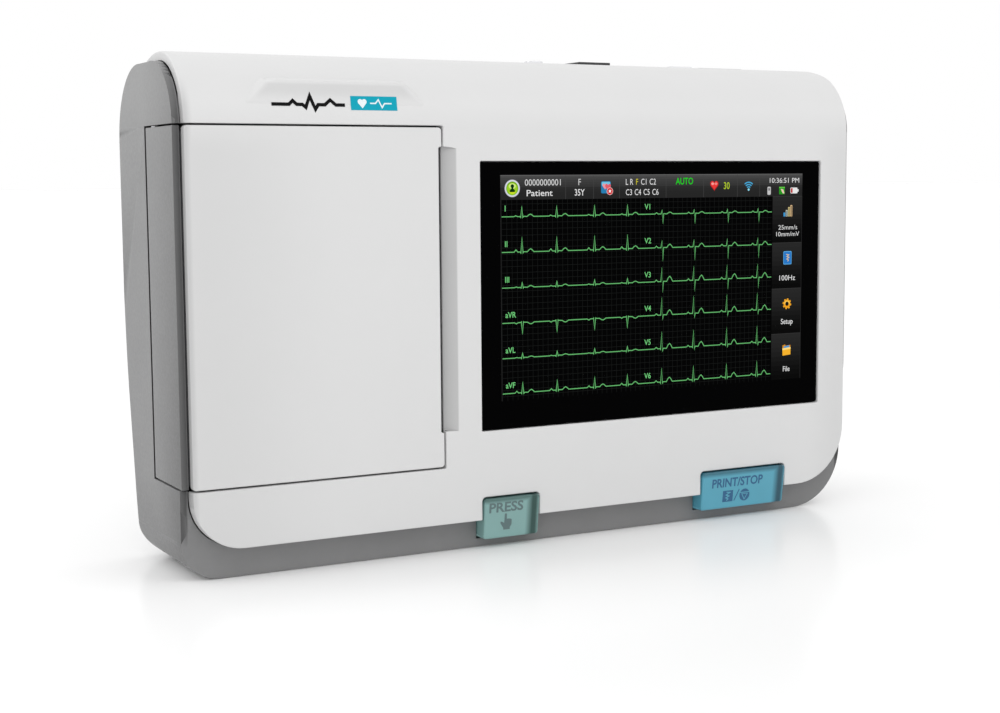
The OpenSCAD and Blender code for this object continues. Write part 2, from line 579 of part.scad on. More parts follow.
module sync_jack() color([0.2, 0.2, 0.2]) difference() {
  zcyl(98.6, 12, 124, 141.4, 2.4);
  zcyl(98.6, 12, 126, 150, 1.75);
}
// round foot on the leaning lower part of the back
module low_foot(x, r, y0, y1) translate([x, 22.55, 38]) rotate([-99, 0, 0]) translate([0, 0, y0]) cylinder(h = y1 - y0, r = r);
module rubber_feet() color([0.12, 0.12, 0.12]) for (x = [-92, 96]) {
  ycyl(x, 112, 25.5, 26.9, 5.5);
  low_foot(x, 5.5, -0.4, 1.0);
}
module casing_screws() color([0.7, 0.7, 0.72]) for (p = screws) difference() {
  union() { ycyl(p[0], p[1], p[1] > 100 ? -19 : -20, p[2], 1.25); ycyl(p[0], p[1], p[2], p[2] + 1.8, 2.7); }
  box([p[0] - 1.6, p[2] + 0.9, p[1] - 0.3], [p[0] + 1.6, 40, p[1] + 0.3]);
  box([p[0] - 0.3, p[2] + 0.9, p[1] - 1.6], [p[0] + 0.3, 40, p[1] + 1.6]);
}
module battery_cover_screws() color([0.7, 0.7, 0.72]) for (x = [4, 70]) difference() {
  union() { ycyl(x, 46.4, 12, 22.62, 0.9); ycyl(x, 46.4, 22.6, 23.4, 2.0); }
  box([x - 1.2, 23, 46.2], [x + 1.2, 40, 46.6]);
  box([x - 0.2, 23, 45.2], [x + 0.2, 40, 47.6]);
}
module board_screws() color([0.7, 0.7, 0.72]) for (p = [[-14, 41.5], [85, 41.5]]) {
  ycyl(p[0], p[1], -14.6, -13.35, 2.4);
  ycyl(p[0], p[1], -13.4, -5, 0.9);
}

front_cover();
rear_casing();
touch_glass();
glass_gasket();
lcd_module();
lcd_holder();
door_front_panel();
door_side_panel();
door_frame();
hinge_pins();
platen_shaft();
platen_roller();
platen_bushes();
platen_gear();
idler_gear();
idler_pin();
motor_pinion();
motor_shaft();
stepper_motor();
printer_chassis();
print_head();
head_heatsink();
head_springs();
head_cable();
tear_bar();
paper_tray();
paper_roll();
paper_core();
paper_sensor();
press_button();
press_spring();
latch_slide();
print_stop_button();
button_dome();
key_board();
mainboard();
mainboard_chips();
ecg_board();
ecg_shield_can();
power_board();
power_parts();
battery_pack();
battery_contacts();
battery_cover();
speaker();
ecg_connector();
connector_jackscrews();
usb_port();
usb_device_port();
lan_port();
dc_inlet();
earth_stud();
sync_jack();
rubber_feet();
casing_screws();
battery_cover_screws();
board_screws();
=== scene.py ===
import bpy
import bmesh
import json
import math
from mathutils import Matrix, Vector


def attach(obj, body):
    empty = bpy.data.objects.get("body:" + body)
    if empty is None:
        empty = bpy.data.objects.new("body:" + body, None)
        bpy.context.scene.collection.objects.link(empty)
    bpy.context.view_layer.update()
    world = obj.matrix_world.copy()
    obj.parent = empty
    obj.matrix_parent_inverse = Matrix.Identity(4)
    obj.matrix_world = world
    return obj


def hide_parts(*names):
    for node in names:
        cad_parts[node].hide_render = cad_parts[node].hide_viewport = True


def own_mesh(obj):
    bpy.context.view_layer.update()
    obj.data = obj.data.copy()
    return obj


MM = 0.001
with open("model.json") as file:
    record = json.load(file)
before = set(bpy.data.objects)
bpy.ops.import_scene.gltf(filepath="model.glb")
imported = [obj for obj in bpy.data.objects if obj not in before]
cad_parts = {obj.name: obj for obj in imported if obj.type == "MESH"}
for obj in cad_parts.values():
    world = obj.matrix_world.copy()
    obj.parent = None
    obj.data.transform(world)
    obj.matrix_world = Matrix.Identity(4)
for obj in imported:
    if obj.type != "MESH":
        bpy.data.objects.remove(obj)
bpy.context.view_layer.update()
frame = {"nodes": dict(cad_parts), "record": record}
nodes = frame["nodes"]
body_of_node = {n: b for b, ns in frame["record"]["behaviour"]["bodies"].items() for n in ns}
scene = bpy.context.scene


# ---------------------------------------------------------------- materials
def new_mat(name):
    m = bpy.data.materials.new(name)
    m.use_nodes = True
    nt = m.node_tree
    p = next(n for n in nt.nodes if n.type == "BSDF_PRINCIPLED")
    return m, nt, p


def tex_coord(nt):
    return nt.nodes.new("ShaderNodeTexCoord").outputs["Object"]


def noise(nt, vec, scale, detail=2.0, rough=0.5):
    n = nt.nodes.new("ShaderNodeTexNoise")
    n.inputs["Scale"].default_value = scale
    n.inputs["Detail"].default_value = detail
    n.inputs["Roughness"].default_value = rough
    nt.links.new(vec, n.inputs["Vector"])
    return n.outputs["Fac"]


def remap(nt, val, a, b, c, d):
    n = nt.nodes.new("ShaderNodeMapRange")
    n.inputs["From Min"].default_value = a
    n.inputs["From Max"].default_value = b
    n.inputs["To Min"].default_value = c
    n.inputs["To Max"].default_value = d
    nt.links.new(val, n.inputs["Value"])
    return n.outputs["Result"]


def mix_col(nt, fac, a, b):
    n = nt.nodes.new("ShaderNodeMix")
    n.data_type = "RGBA"
    ins = [i for i in n.inputs if i.enabled or True]
    fsock = n.inputs[0]
    asock, bsock = n.inputs[6], n.inputs[7]
    if isinstance(fac, (int, float)):
        fsock.default_value = fac
    else:
        nt.links.new(fac, fsock)
    for s, v in ((asock, a), (bsock, b)):
        if isinstance(v, (tuple, list)):
            s.default_value = (*v, 1.0) if len(v) == 3 else v
        else:
            nt.links.new(v, s)
    return n.outputs[2]


def bump(nt, p, height, strength, dist):
    n = nt.nodes.new("ShaderNodeBump")
    n.inputs["Strength"].default_value = strength
    n.inputs["Distance"].default_value = dist
    nt.links.new(height, n.inputs["Height"])
    nt.links.new(n.outputs["Normal"], p.inputs["Normal"])
    return n


def stretched(nt, vec, s):
    n = nt.nodes.new("ShaderNodeMapping")
    n.inputs["Scale"].default_value = s
    nt.links.new(vec, n.inputs["Vector"])
    return n.outputs["Vector"]


def gate(nt, val, a, b):
    """0 at a, 1 at b, smooth and clamped between."""
    n = nt.nodes.new("ShaderNodeMapRange")
    n.interpolation_type = "SMOOTHSTEP"
    n.inputs["From Min"].default_value = a
    n.inputs["From Max"].default_value = b
    nt.links.new(val, n.inputs["Value"])
    return n.outputs["Result"]


def times(nt, *vals):
    out = vals[0]
    for v in vals[1:]:
        n = nt.nodes.new("ShaderNodeMath")
        n.operation = "MULTIPLY"
        for sock, x in zip(n.inputs, (out, v)):
            if isinstance(x, (int, float)):
                sock.default_value = x
            else:
                nt.links.new(x, sock)
        out = n.outputs[0]
    return out


def larger(nt, a, b):
    n = nt.nodes.new("ShaderNodeMath")
    n.operation = "MAXIMUM"
    nt.links.new(a, n.inputs[0])
    nt.links.new(b, n.inputs[1])
    return n.outputs[0]


def axes(nt, socket):
    n = nt.nodes.new("ShaderNodeSeparateXYZ")
    nt.links.new(socket, n.inputs[0])
    return n.outputs["X"], n.outputs["Y"], n.outputs["Z"]


def painted_edge_shade(nt, tc, colour):
    """Painted shade: darker colour on the faces that look forward, most on the narrow edges of the end plates; the left
    side darkens towards its front and foot, and a painted highlight lightens its upper part.
    """
    x, y, z = axes(nt, tc)
    nx, ny, nz = axes(nt, tc.node.outputs["Normal"])
    ends = larger(nt, gate(nt, x, -109.6 * MM, -110.6 * MM), gate(nt, x, 107.7 * MM, 108.6 * MM))
    front = gate(nt, ny, -0.3, -0.75)
    high = gate(nt, z, 5 * MM, 17 * MM)
    depth = larger(nt, remap(nt, x, -111.5 * MM, -110.0 * MM, 0.66, 0.86), gate(nt, x, 0, 108.6 * MM))
    # painted shade along the front edges of the end plates, deeper lower down
    band = times(nt, ends, front, high, depth, remap(nt, z, 121 * MM, 137 * MM, 0.98, 0.38))
    # painted shade on every forward-facing face
    foot = times(nt, front, remap(nt, x, -60 * MM, 60 * MM, 0.21, 0.27))
    left = gate(nt, nx, -0.5, -0.9)
    # painted shade on the left side, deeper towards its front
    near = times(nt, left, remap(nt, y, 2 * MM, -24 * MM, 0.05, 0.30), remap(nt, z, 108 * MM, 30 * MM, 0.95, 1.9))
    # painted shade on the left side near its foot
    low = times(nt, left, gate(nt, z, 38 * MM, 4 * MM), 0.26)
    # painted highlight: the left side lighter towards its top
    colour = mix_col(nt, times(nt, left, gate(nt, z, 108 * MM, 132 * MM), 0.20), colour, (0.48, 0.48, 0.48))
    return mix_col(nt, larger(nt, larger(nt, band, foot), larger(nt, near, low)), colour, (0.02, 0.02, 0.02))


def painted_shell_shade(nt, tc, colour):
    """Painted shade: darker colour on the shell's narrow ends, on the sloping paper exit, along its left edge and on
    the front below the roll towards both ends.
    """
    x, y, z = axes(nt, tc)
    nx, ny, nz = axes(nt, tc.node.outputs["Normal"])
    # painted shade on the narrow ends
    ends = times(nt, gate(nt, x, -109.3 * MM, -109.6 * MM), gate(nt, nx, -0.45, -0.9), gate(nt, z, 138 * MM, 120 * MM), 0.42)
    # painted shade on the sloping paper exit
    ramp = times(nt, gate(nt, x, -36.3 * MM, -36.1 * MM), gate(nt, x, -31.3 * MM, -31.5 * MM), gate(nt, z, 34.9 * MM, 35.2 * MM),
                 gate(nt, z, 115.1 * MM, 114.8 * MM), gate(nt, y, -25.8 * MM, -25.6 * MM), remap(nt, x, -36.1 * MM, -31.4 * MM, 0.42, 0.29))
    # painted shade along the left edge and on the front towards both ends
    rim = times(nt, gate(nt, x, -106.9 * MM, -109.8 * MM), gate(nt, z, 134 * MM, 124 * MM), 0.26)
    broad = times(nt, gate(nt, x, -62 * MM, -106 * MM), gate(nt, z, 124 * MM, 112 * MM), 0.09)
    right = times(nt, gate(nt, x, 92 * MM, 106 * MM), gate(nt, z, 126 * MM, 112 * MM), 0.07)
    return mix_col(nt, larger(nt, larger(nt, larger(nt, ends, ramp), larger(nt, rim, broad)), right), colour, (0.04, 0.04, 0.04))


def along(nt, tc, kx, kz):
    n = nt.nodes.new("ShaderNodeVectorMath")
    n.operation = "DOT_PRODUCT"
    nt.links.new(tc, n.inputs[0])
    n.inputs[1].default_value = (kx, 0, kz)
    return n.outputs["Value"]


def painted_pad_shade(nt, tc, colour):
    """Painted shade: darker colour inside the raised pad's edge, fading out below it."""
    x, y, z = axes(nt, tc)
    zt, xl, xr, lean = 132.1, -86.2, -47.2, 0.92
    a, b = xl - zt * lean, -(xr + zt * lean)
    inside = times(nt, gate(nt, along(nt, tc, 1, -lean), (a - 0.6) * MM, (a + 1.6) * MM), gate(nt, along(nt, tc, -1, -lean), (b - 0.6) * MM, (b + 1.6) * MM),
                   gate(nt, z, 131.9 * MM, 131.0 * MM), gate(nt, z, 126.6 * MM, 129.9 * MM), 0.11)
    return mix_col(nt, inside, colour, (0.04, 0.04, 0.04))


def plastic(name, col, rough=0.45, var=0.03, grain=1400, bump_mm=0.02, strength=0.25, coat=0.0, spec=0.5, tone=None):
    """Moulded plastic: fine spark-eroded texture, a faint cloudy tone and slightly uneven gloss."""
    m, nt, p = new_mat(name)
    tc = tex_coord(nt)
    cloud = noise(nt, tc, 55, 3, 0.6)
    lo = tuple(c * (1 - var) for c in col)
    hi = tuple(min(1.0, c * (1 + var)) for c in col)
    colour = mix_col(nt, cloud, lo, hi)
    # tone, when given, paints shade and light into the colour
    nt.links.new(tone(nt, tc, colour) if tone else colour, p.inputs["Base Color"])
    fine = noise(nt, tc, grain, 2, 0.55)
    nt.links.new(remap(nt, fine, 0.3, 0.7, rough - 0.05, rough + 0.07), p.inputs["Roughness"])
    bump(nt, p, fine, strength, bump_mm * MM)
    p.inputs["Specular IOR Level"].default_value = spec
    if coat:
        p.inputs["Coat Weight"].default_value = coat
        p.inputs["Coat Roughness"].default_value = 0.15
    return m


def metal(name, col, rough=0.25, axis=(1, 1, 1), scale=900, var=0.08, strength=0.08):
    """Metal with drawn or turned lines that run along the stretched axis."""
    m, nt, p = new_mat(name)
    tc = stretched(nt, tex_coord(nt), axis)
    lines = noise(nt, tc, scale, 3, 0.6)
    lo = tuple(c * (1 - var) for c in col)
    nt.links.new(mix_col(nt, lines, lo, col), p.inputs["Base Color"])
    p.inputs["Metallic"].default_value = 1.0
    nt.links.new(remap(nt, lines, 0.3, 0.7, rough * 0.75, rough * 1.3), p.inputs["Roughness"])
    bump(nt, p, lines, strength, 0.01 * MM)
    return m


def rubber(name, col=(0.02, 0.02, 0.021), rough=0.75):
    m, nt, p = new_mat(name)
    tc = tex_coord(nt)
    n = noise(nt, tc, 700, 3, 0.6)
    nt.links.new(mix_col(nt, n, tuple(c * 0.75 for c in col), tuple(c * 1.4 for c in col)), p.inputs["Base Color"])
    nt.links.new(remap(nt, n, 0.3, 0.7, rough - 0.08, rough + 0.1), p.inputs["Roughness"])
    bump(nt, p, n, 0.3, 0.03 * MM)
    return m


def plain_glow(name, col, strength=1.0, rough=0.12):
    """A lit area of the display: black under gloss, with constant light of its own."""
    m, nt, p = new_mat(name)
    p.inputs["Base Color"].default_value = (0.001, 0.001, 0.001, 1)
    p.inputs["Roughness"].default_value = rough
    p.inputs["Specular IOR Level"].default_value = 0.008
    p.inputs["Emission Color"].default_value = (*col, 1)
    p.inputs["Emission Strength"].default_value = strength
    return m


def lin(r, g=None, b=None):
    if g is None:
        g = b = r
    out = []
    for v in (r, g, b):
        v /= 255.0
        out.append(v / 12.92 if v <= 0.04045 else ((v + 0.055) / 1.055) ** 2.4)
    return tuple(out)


# the white, its pad copy and the grey carry painted shade in their colour; the grey also a painted highlight
WHITE = plastic("white_satin_abs", (0.68, 0.68, 0.68), rough=0.42, var=0.012, grain=1700, bump_mm=0.018, strength=0.22, tone=painted_shell_shade)
WHITE_PAD = plastic("white_satin_pad", (0.675, 0.675, 0.675), rough=0.42, var=0.012, grain=1700, bump_mm=0.018, strength=0.22, tone=painted_pad_shade)
GREY = plastic("grey_spark_abs", (0.255, 0.255, 0.257), rough=0.5, var=0.09, grain=1150, bump_mm=0.06, strength=0.75, tone=painted_edge_shade)
BLACK_ABS = plastic("black_moulded", (0.022, 0.022, 0.024), rough=0.42, var=0.15, grain=900, bump_mm=0.02, strength=0.3)
DARK_ABS = plastic("charcoal_moulded", (0.055, 0.056, 0.06), rough=0.45, var=0.12, grain=900, bump_mm=0.02, strength=0.3)
ACETAL = plastic("natural_acetal", (0.72, 0.69, 0.6), rough=0.35, var=0.04, grain=600, bump_mm=0.01, strength=0.15)
RUBBER = rubber("black_rubber")
PLATEN_RUBBER = rubber("platen_rubber", (0.03, 0.03, 0.032), 0.6)
GASKET = rubber("foam_gasket", (0.03, 0.03, 0.03), 0.9)
STEEL = metal("ground_steel", (0.62, 0.62, 0.64), 0.22, (1, 1, 0.08), 1500)
SHEET = metal("zinc_sheet", (0.55, 0.56, 0.57), 0.34, (1, 0.3, 1), 260, var=0.16)
ALU = metal("extruded_aluminium", (0.66, 0.67, 0.69), 0.34, (1, 1, 0.03), 1200)
BRASS = metal("turned_brass", (0.78, 0.6, 0.26), 0.25, (1, 1, 0.1), 1100)
CHROME = metal("bright_plating", (0.82, 0.82, 0.84), 0.12, (0.15, 1, 1), 900)
GOLD = metal("gold_contact", (0.9, 0.68, 0.3), 0.2, (1, 1, 0.1), 900)
COPPER = metal("copper", (0.75, 0.4, 0.25), 0.3, (1, 1, 0.1), 900)


def glass_black():
    m, nt, p = new_mat("black_cover_glass")
    tc = tex_coord(nt)
    smear = noise(nt, tc, 22, 4, 0.65)
    nt.links.new(remap(nt, smear, 0.35, 0.75, 0.035, 0.085), p.inputs["Roughness"])
    p.inputs["Base Color"].default_value = (0.0007, 0.0007, 0.0008, 1)
    p.inputs["Specular IOR Level"].default_value = 0.008
    return m


GLASS = glass_black()


def button_mat(name, col, shade_col, x0, x1, z1):
    """Translucent moulded button with painted shade: a darker band inside its right end and under its upper edge."""
    m, nt, p = new_mat(name)
    tc = tex_coord(nt)
    sep = nt.nodes.new("ShaderNodeSeparateXYZ")
    nt.links.new(tc, sep.inputs[0])
    w = x1 - x0
    right = remap(nt, sep.outputs["X"], (x1 - 4.6) * MM, (x1 - 2.4) * MM, 0.0, 1.0)
    edge = remap(nt, sep.outputs["X"], (x1 - 1.3) * MM, (x1 - 0.4) * MM, 1.0, 0.35)
    top = remap(nt, sep.outputs["Z"], (z1 - 1.7) * MM, (z1 - 0.5) * MM, 0.0, 0.75)
    mul = nt.nodes.new("ShaderNodeMath")
    mul.operation = "MULTIPLY"
    nt.links.new(right, mul.inputs[0])
    nt.links.new(edge, mul.inputs[1])
    shade_mask = nt.nodes.new("ShaderNodeMath")
    shade_mask.operation = "MAXIMUM"
    nt.links.new(mul.outputs[0], shade_mask.inputs[0])
    nt.links.new(top, shade_mask.inputs[1])
    cloud = noise(nt, tc, 110, 3, 0.6)
    base = mix_col(nt, cloud, tuple(c * 0.95 for c in col), tuple(min(1, c * 1.05) for c in col))
    # mixes in the painted shade colour
    nt.links.new(mix_col(nt, shade_mask.outputs[0], base, shade_col), p.inputs["Base Color"])
    nt.links.new(remap(nt, cloud, 0.3, 0.7, 0.28, 0.34), p.inputs["Roughness"])
    return m


def paper_mat():
    m, nt, p = new_mat("thermal_paper")
    tc = tex_coord(nt)
    fibre = noise(nt, stretched(nt, tc, (1, 1, 0.4)), 2400, 3, 0.7)
    sep = nt.nodes.new("ShaderNodeSeparateXYZ")
    nt.links.new(tc, sep.inputs[0])
    nt.links.new(mix_col(nt, fibre, (0.78, 0.78, 0.75), (0.86, 0.86, 0.84)), p.inputs["Base Color"])
    p.inputs["Roughness"].default_value = 0.62
    bump(nt, p, fibre, 0.2, 0.01 * MM)
    return m


PAPER = paper_mat()


def pcb_mat(name, col=(0.02, 0.13, 0.05)):
    m, nt, p = new_mat(name)
    tc = tex_coord(nt)
    v = nt.nodes.new("ShaderNodeTexVoronoi")
    v.distance = "CHEBYCHEV"
    v.inputs["Scale"].default_value = 420
    nt.links.new(tc, v.inputs["Vector"])
    t = remap(nt, v.outputs["Distance"], 0.36, 0.4, 0.0, 1.0)
    nt.links.new(mix_col(nt, t, col, tuple(min(1, c * 2.1) for c in col)), p.inputs["Base Color"])
    p.inputs["Roughness"].default_value = 0.28
    bump(nt, p, t, 0.2, 0.03 * MM)
    return m


PCB = pcb_mat("green_board")
CARD = plastic("cardboard_core", (0.42, 0.3, 0.18), rough=0.8, var=0.15, grain=700, bump_mm=0.05, strength=0.5, spec=0.2)
POLYIMIDE = plastic("polyimide_flex", (0.45, 0.22, 0.05), rough=0.3, var=0.12, grain=300, bump_mm=0.01, strength=0.1)
CERAMIC = plastic("glazed_ceramic", (0.78, 0.78, 0.8), rough=0.18, var=0.03, grain=500, bump_mm=0.005, strength=0.1, coat=0.5)
CELL = plastic("cell_sleeve", (0.03, 0.1, 0.3), rough=0.3, var=0.08, grain=500, bump_mm=0.02, strength=0.2, coat=0.3)
CHIP = plastic("chip_epoxy", (0.02, 0.02, 0.022), rough=0.55, var=0.15, grain=1600, bump_mm=0.02, strength=0.4)
PORT_GREY = plastic("port_housing", (0.11, 0.115, 0.12), rough=0.4, var=0.08, grain=900, bump_mm=0.015, strength=0.25)
# the second colour of each button is its painted shade colour
TEAL = button_mat("teal_button", lin(128, 166, 163), lin(38, 72, 67), -23.75, -5.75, 14.6)
BLUE = button_mat("blue_button", lin(84, 160, 182), lin(26, 76, 92), 52.4, 83.9, 15.2)
TEAL_PRINT = plastic("teal_button_print", lin(90, 112, 113), rough=0.4, var=0.05)
BLUE_PRINT = plastic("blue_button_print", lin(38, 92, 132), rough=0.4, var=0.05)
MARK_DARK = plastic("mark_ink", lin(10, 10, 11), rough=0.45, var=0.08, spec=0.08)
MARK_TEAL = plastic("badge_teal", lin(6, 158, 180), rough=0.45, var=0.05, spec=0.12)
MARK_WHITE = plastic("badge_white", lin(226, 236, 238), rough=0.4, var=0.02)

DEFAULT_MATS = {
    "white_shell": WHITE, "grey_shell": GREY, "inner_plastic": BLACK_ABS, "glass_black": GLASS, "gasket": GASKET,
    "teal_button": TEAL, "blue_button": BLUE, "steel": STEEL, "sheet_steel": SHEET, "rubber_black": RUBBER,
    "natural_acetal": ACETAL, "brass": BRASS, "aluminium": ALU, "ceramic": CERAMIC, "polyimide": POLYIMIDE,
    "paper": PAPER, "board_green": PCB, "component_black": CHIP, "cell_blue": CELL, "chrome": CHROME,
}
NODE_MATS = {
    "paper_core": CARD, "platen_roller": PLATEN_RUBBER, "ecg_connector": PORT_GREY, "usb_port": CHROME,
    "lan_port": SHEET, "usb_device_port": CHROME, "dc_inlet": BLACK_ABS, "sync_jack": BLACK_ABS, "tear_bar": STEEL,
}


# ---------------------------------------------------------------- geometry helpers
def mesh_object(name, verts, faces, mats, body, smooth=False, face_mats=None):
    me = bpy.data.meshes.new(name)
    me.from_pydata([Vector(v) * MM for v in verts], [], faces)
    for m in mats:
        me.materials.append(m)
    if face_mats:
        me.polygons.foreach_set("material_index", face_mats)
    if smooth:
        me.shade_smooth()
    me.update()
    ob = bpy.data.objects.new(name, me)
    scene.collection.objects.link(ob)
    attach(ob, body)
    return ob


def clean_copy(node, merge=0.002, flat=True):
    """Copy of a CAD node's mesh with its doubled points joined and, if asked, its flat areas merged."""
    me = nodes[node].data.copy()
    bm = bmesh.new()
    bm.from_mesh(me)
    bmesh.ops.remove_doubles(bm, verts=bm.verts, dist=merge * MM)
    if flat:
        bmesh.ops.dissolve_degenerate(bm, edges=bm.edges, dist=2e-6)
        bmesh.ops.dissolve_limit(bm, angle_limit=math.radians(0.6), verts=bm.verts, edges=bm.edges)
    bmesh.ops.recalc_face_normals(bm, faces=bm.faces)
    bm.to_mesh(me)
    bm.free()
    me.materials.clear()
    return me


def pick_edges(me, pick, angle):
    """Marks the sharp edges whose middle the test accepts, for an edge break on those alone."""
    bm = bmesh.new()
    bm.from_mesh(me)
    layer = bm.edges.layers.float.new("bevel_weight_edge")
    for e in bm.edges:
        if len(e.link_faces) == 2 and e.calc_face_angle() > math.radians(angle) and pick((e.verts[0].co + e.verts[1].co) / 2):
            e[layer] = 1.0
    bm.to_mesh(me)
    bm.free()


def refined(name, node, mat, width=0.3, segments=3, angle=32, slot=None, merge=0.002, pick=None, flat=True):
    """A CAD node with its edges broken the way a moulded or machined part's are."""
    me = clean_copy(node, merge, flat)
    me.materials.append(mat)
    if pick:
        pick_edges(me, pick, angle)
    me.shade_smooth()
    if not width:
        me.set_sharp_from_angle(angle=math.radians(angle))
    ob = bpy.data.objects.new(name, me)
    scene.collection.objects.link(ob)
    if width:
        b = ob.modifiers.new("edge_break", "BEVEL")
        b.width = width * MM
        b.segments = segments
        b.limit_method = "WEIGHT" if pick else "ANGLE"
        b.angle_limit = math.radians(angle)
        b.use_clamp_overlap = False
        b.miter_outer = "MITER_ARC"
    w = ob.modifiers.new("normals", "WEIGHTED_NORMAL")
    w.weight = 60
    w.keep_sharp = True
    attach(ob, body_of_node[node])
    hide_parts(node)
    slot or slot_of(node)
    return ob


NODE_SLOT = {}


def slot_of(node):
    if not NODE_SLOT:
        for part in frame["record"].get("nodes", frame["record"].get("parts", [])) or []:
            if isinstance(part, dict) and part.get("name"):
                NODE_SLOT[part["name"]] = part.get("material") or part.get("slot") or part.get("material_slot")
        if not NODE_SLOT:
            NODE_SLOT["_"] = None
    return NODE_SLOT.get(node) or FALLBACK_SLOT.get(node, "inner_plastic")


FALLBACK_SLOT = {
    "front_cover": "white_shell", "door_front_panel": "white_shell", "rear_casing": "grey_shell",
    "door_side_panel": "grey_shell", "battery_cover": "grey_shell", "touch_glass": "glass_black",
    "glass_gasket": "gasket", "lcd_module": "component_black", "lcd_holder": "inner_plastic",
    "door_frame": "inner_plastic", "hinge_pins": "steel", "platen_shaft": "steel", "platen_roller": "rubber_black",
    "platen_bushes": "natural_acetal", "platen_gear": "natural_acetal", "idler_gear": "natural_acetal",
    "idler_pin": "steel", "motor_pinion": "brass", "motor_shaft": "steel", "stepper_motor": "sheet_steel",
    "printer_chassis": "sheet_steel", "print_head": "ceramic", "head_heatsink": "aluminium", "head_springs": "steel",
    "head_cable": "polyimide", "tear_bar": "steel", "paper_tray": "inner_plastic", "paper_roll": "paper",
    "paper_core": "inner_plastic", "paper_sensor": "component_black", "press_button": "teal_button",
    "press_spring": "steel", "latch_slide": "natural_acetal", "print_stop_button": "blue_button",
    "button_dome": "rubber_black", "key_board": "board_green", "mainboard": "board_green",
    "mainboard_chips": "component_black", "ecg_board": "board_green", "ecg_shield_can": "sheet_steel",
    "power_board": "board_green", "power_parts": "component_black", "battery_pack": "cell_blue",
    "battery_contacts": "brass", "speaker": "component_black", "ecg_connector": "component_black",
    "connector_jackscrews": "chrome", "usb_port": "chrome", "usb_device_port": "chrome", "lan_port": "sheet_steel",
    "dc_inlet": "component_black", "earth_stud": "chrome", "sync_jack": "component_black",
    "rubber_feet": "rubber_black", "casing_screws": "steel", "battery_cover_screws": "steel", "board_screws": "steel",
}

for n, o in nodes.items():
    mat = NODE_MATS.get(n) or DEFAULT_MATS[FALLBACK_SLOT.get(n, "inner_plastic")]
    o.data.materials.clear()
    o.data.materials.append(mat)

# ---------------------------------------------------------------- shells and panels
refined("shell_front", "front_cover", WHITE, 0.38, 3, 34)
refined("shell_rear", "rear_casing", GREY, 0, 2, 34, flat=False)
refined("door_face", "door_front_panel", WHITE, 0.4, 3)
refined("door_end", "door_side_panel", GREY, 0.26, 2, merge=0.05)
refined("cover_glass", "touch_glass", GLASS, 0.22, 2)
refined("cover_battery", "battery_cover", GREY, 0.26, 2, 34, merge=0.05)
refined("button_release", "press_button", TEAL, 0.6, 4, 40, pick=lambda c: c.y < -25.2 * MM)
refined("button_print", "print_stop_button", BLUE, 0.6, 4, 40, pick=lambda c: c.y < -25.2 * MM)
refined("door_inner", "door_frame", BLACK_ABS, 0.2, 2)
refined("tray_paper", "paper_tray", BLACK_ABS, 0.2, 2)
refined("chassis_printer", "printer_chassis", SHEET, 0.12, 2)
refined("platen_rubber_roller", "platen_roller", PLATEN_RUBBER, 0.25, 2)
refined("platen_axle", "platen_shaft", STEEL, 0.15, 2)
refined("platen_wheel", "platen_gear", ACETAL, 0.08, 2)
refined("platen_bearings", "platen_bushes", ACETAL, 0.15, 2)
refined("idler_wheel", "idler_gear", ACETAL, 0.08, 2)
refined("head_ceramic", "print_head", CERAMIC, 0.12, 2)
refined("head_sink", "head_heatsink", ALU, 0.12, 2)
refined("bar_tear", "tear_bar", STEEL, 0.05, 1)
refined("latch_hooks", "latch_slide", ACETAL, 0.2, 2)
refined("sensor_paper", "paper_sensor", CHIP, 0.15, 2)
refined("socket_patient", "ecg_connector", PORT_GREY, 0.3, 3)
refined("jackscrews", "connector_jackscrews", CHROME, 0.2, 2)
refined("socket_usb", "usb_port", CHROME, 0.2, 2)
refined("socket_usb_device", "usb_device_port", CHROME, 0.2, 2)
refined("socket_network", "lan_port", SHEET, 0.2, 2)
refined("inlet_power", "dc_inlet", BLACK_ABS, 0.25, 2)
refined("post_earth", "earth_stud", CHROME, 0.3, 2)
refined("jack_sync", "sync_jack", BLACK_ABS, 0.2, 2)
refined("feet", "rubber_feet", RUBBER, 0.5, 3)
refined("screws_casing", "casing_screws", STEEL, 0.15, 2)
refined("screws_battery_cover", "battery_cover_screws", STEEL, 0.15, 2)

# the release button's spring, a steel copy of its CAD mesh
spring_me = nodes["press_spring"].data.copy()
spring_me.materials.clear()
spring_me.materials.append(STEEL)
spring = bpy.data.objects.new("spring_release", spring_me)
scene.collection.objects.link(spring)
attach(spring, body_of_node["press_spring"])
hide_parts("press_spring")
slot_of("press_spring")
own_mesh(spring)

# ---------------------------------------------------------------- raised pad round the badge
YF, ROLL_Y, ROLL_R, ZT = -25.8, -5.8, 20.0, 120.2


def roll_surface(z):
    if z <= ZT:
        return YF
    d = min(z - ZT, ROLL_R)
    return ROLL_Y - math.sqrt(max(0.0, ROLL_R * ROLL_R - d * d))


def pad_line(z):
    return YF + (z - ZT) * math.tan(math.radians(7.9))


def smin(a, b, k):
    h = max(k - abs(a - b), 0.0) / k
    return min(a, b) - h * h * k * 0.25


def sstep(t):
    t = min(1.0, max(0.0, t))
    return t * t * (3 - 2 * t)


def pad_mask(x, z):
    """1 on the pad, 0 outside: a trapezoid with rounded upper corners and leaning ends."""
    zt, xl, xr = 132.1, -86.2, -47.2
    lean = 0.92
    dl = (x - (xl - (zt - z) * lean)) / math.sqrt(1 + lean * lean)
    dr = ((xr + (zt - z) * lean) - x) / math.sqrt(1 + lean * lean)
    dt = zt - z
    k = 2.2
    side = min(dl, dr)
    h = max(k - abs(side - dt), 0.0) / k
    d = min(side, dt) - h * h * k * 0.25
    w = 1.0 if dt <= side else 1.7
    return sstep((d + w) / w)


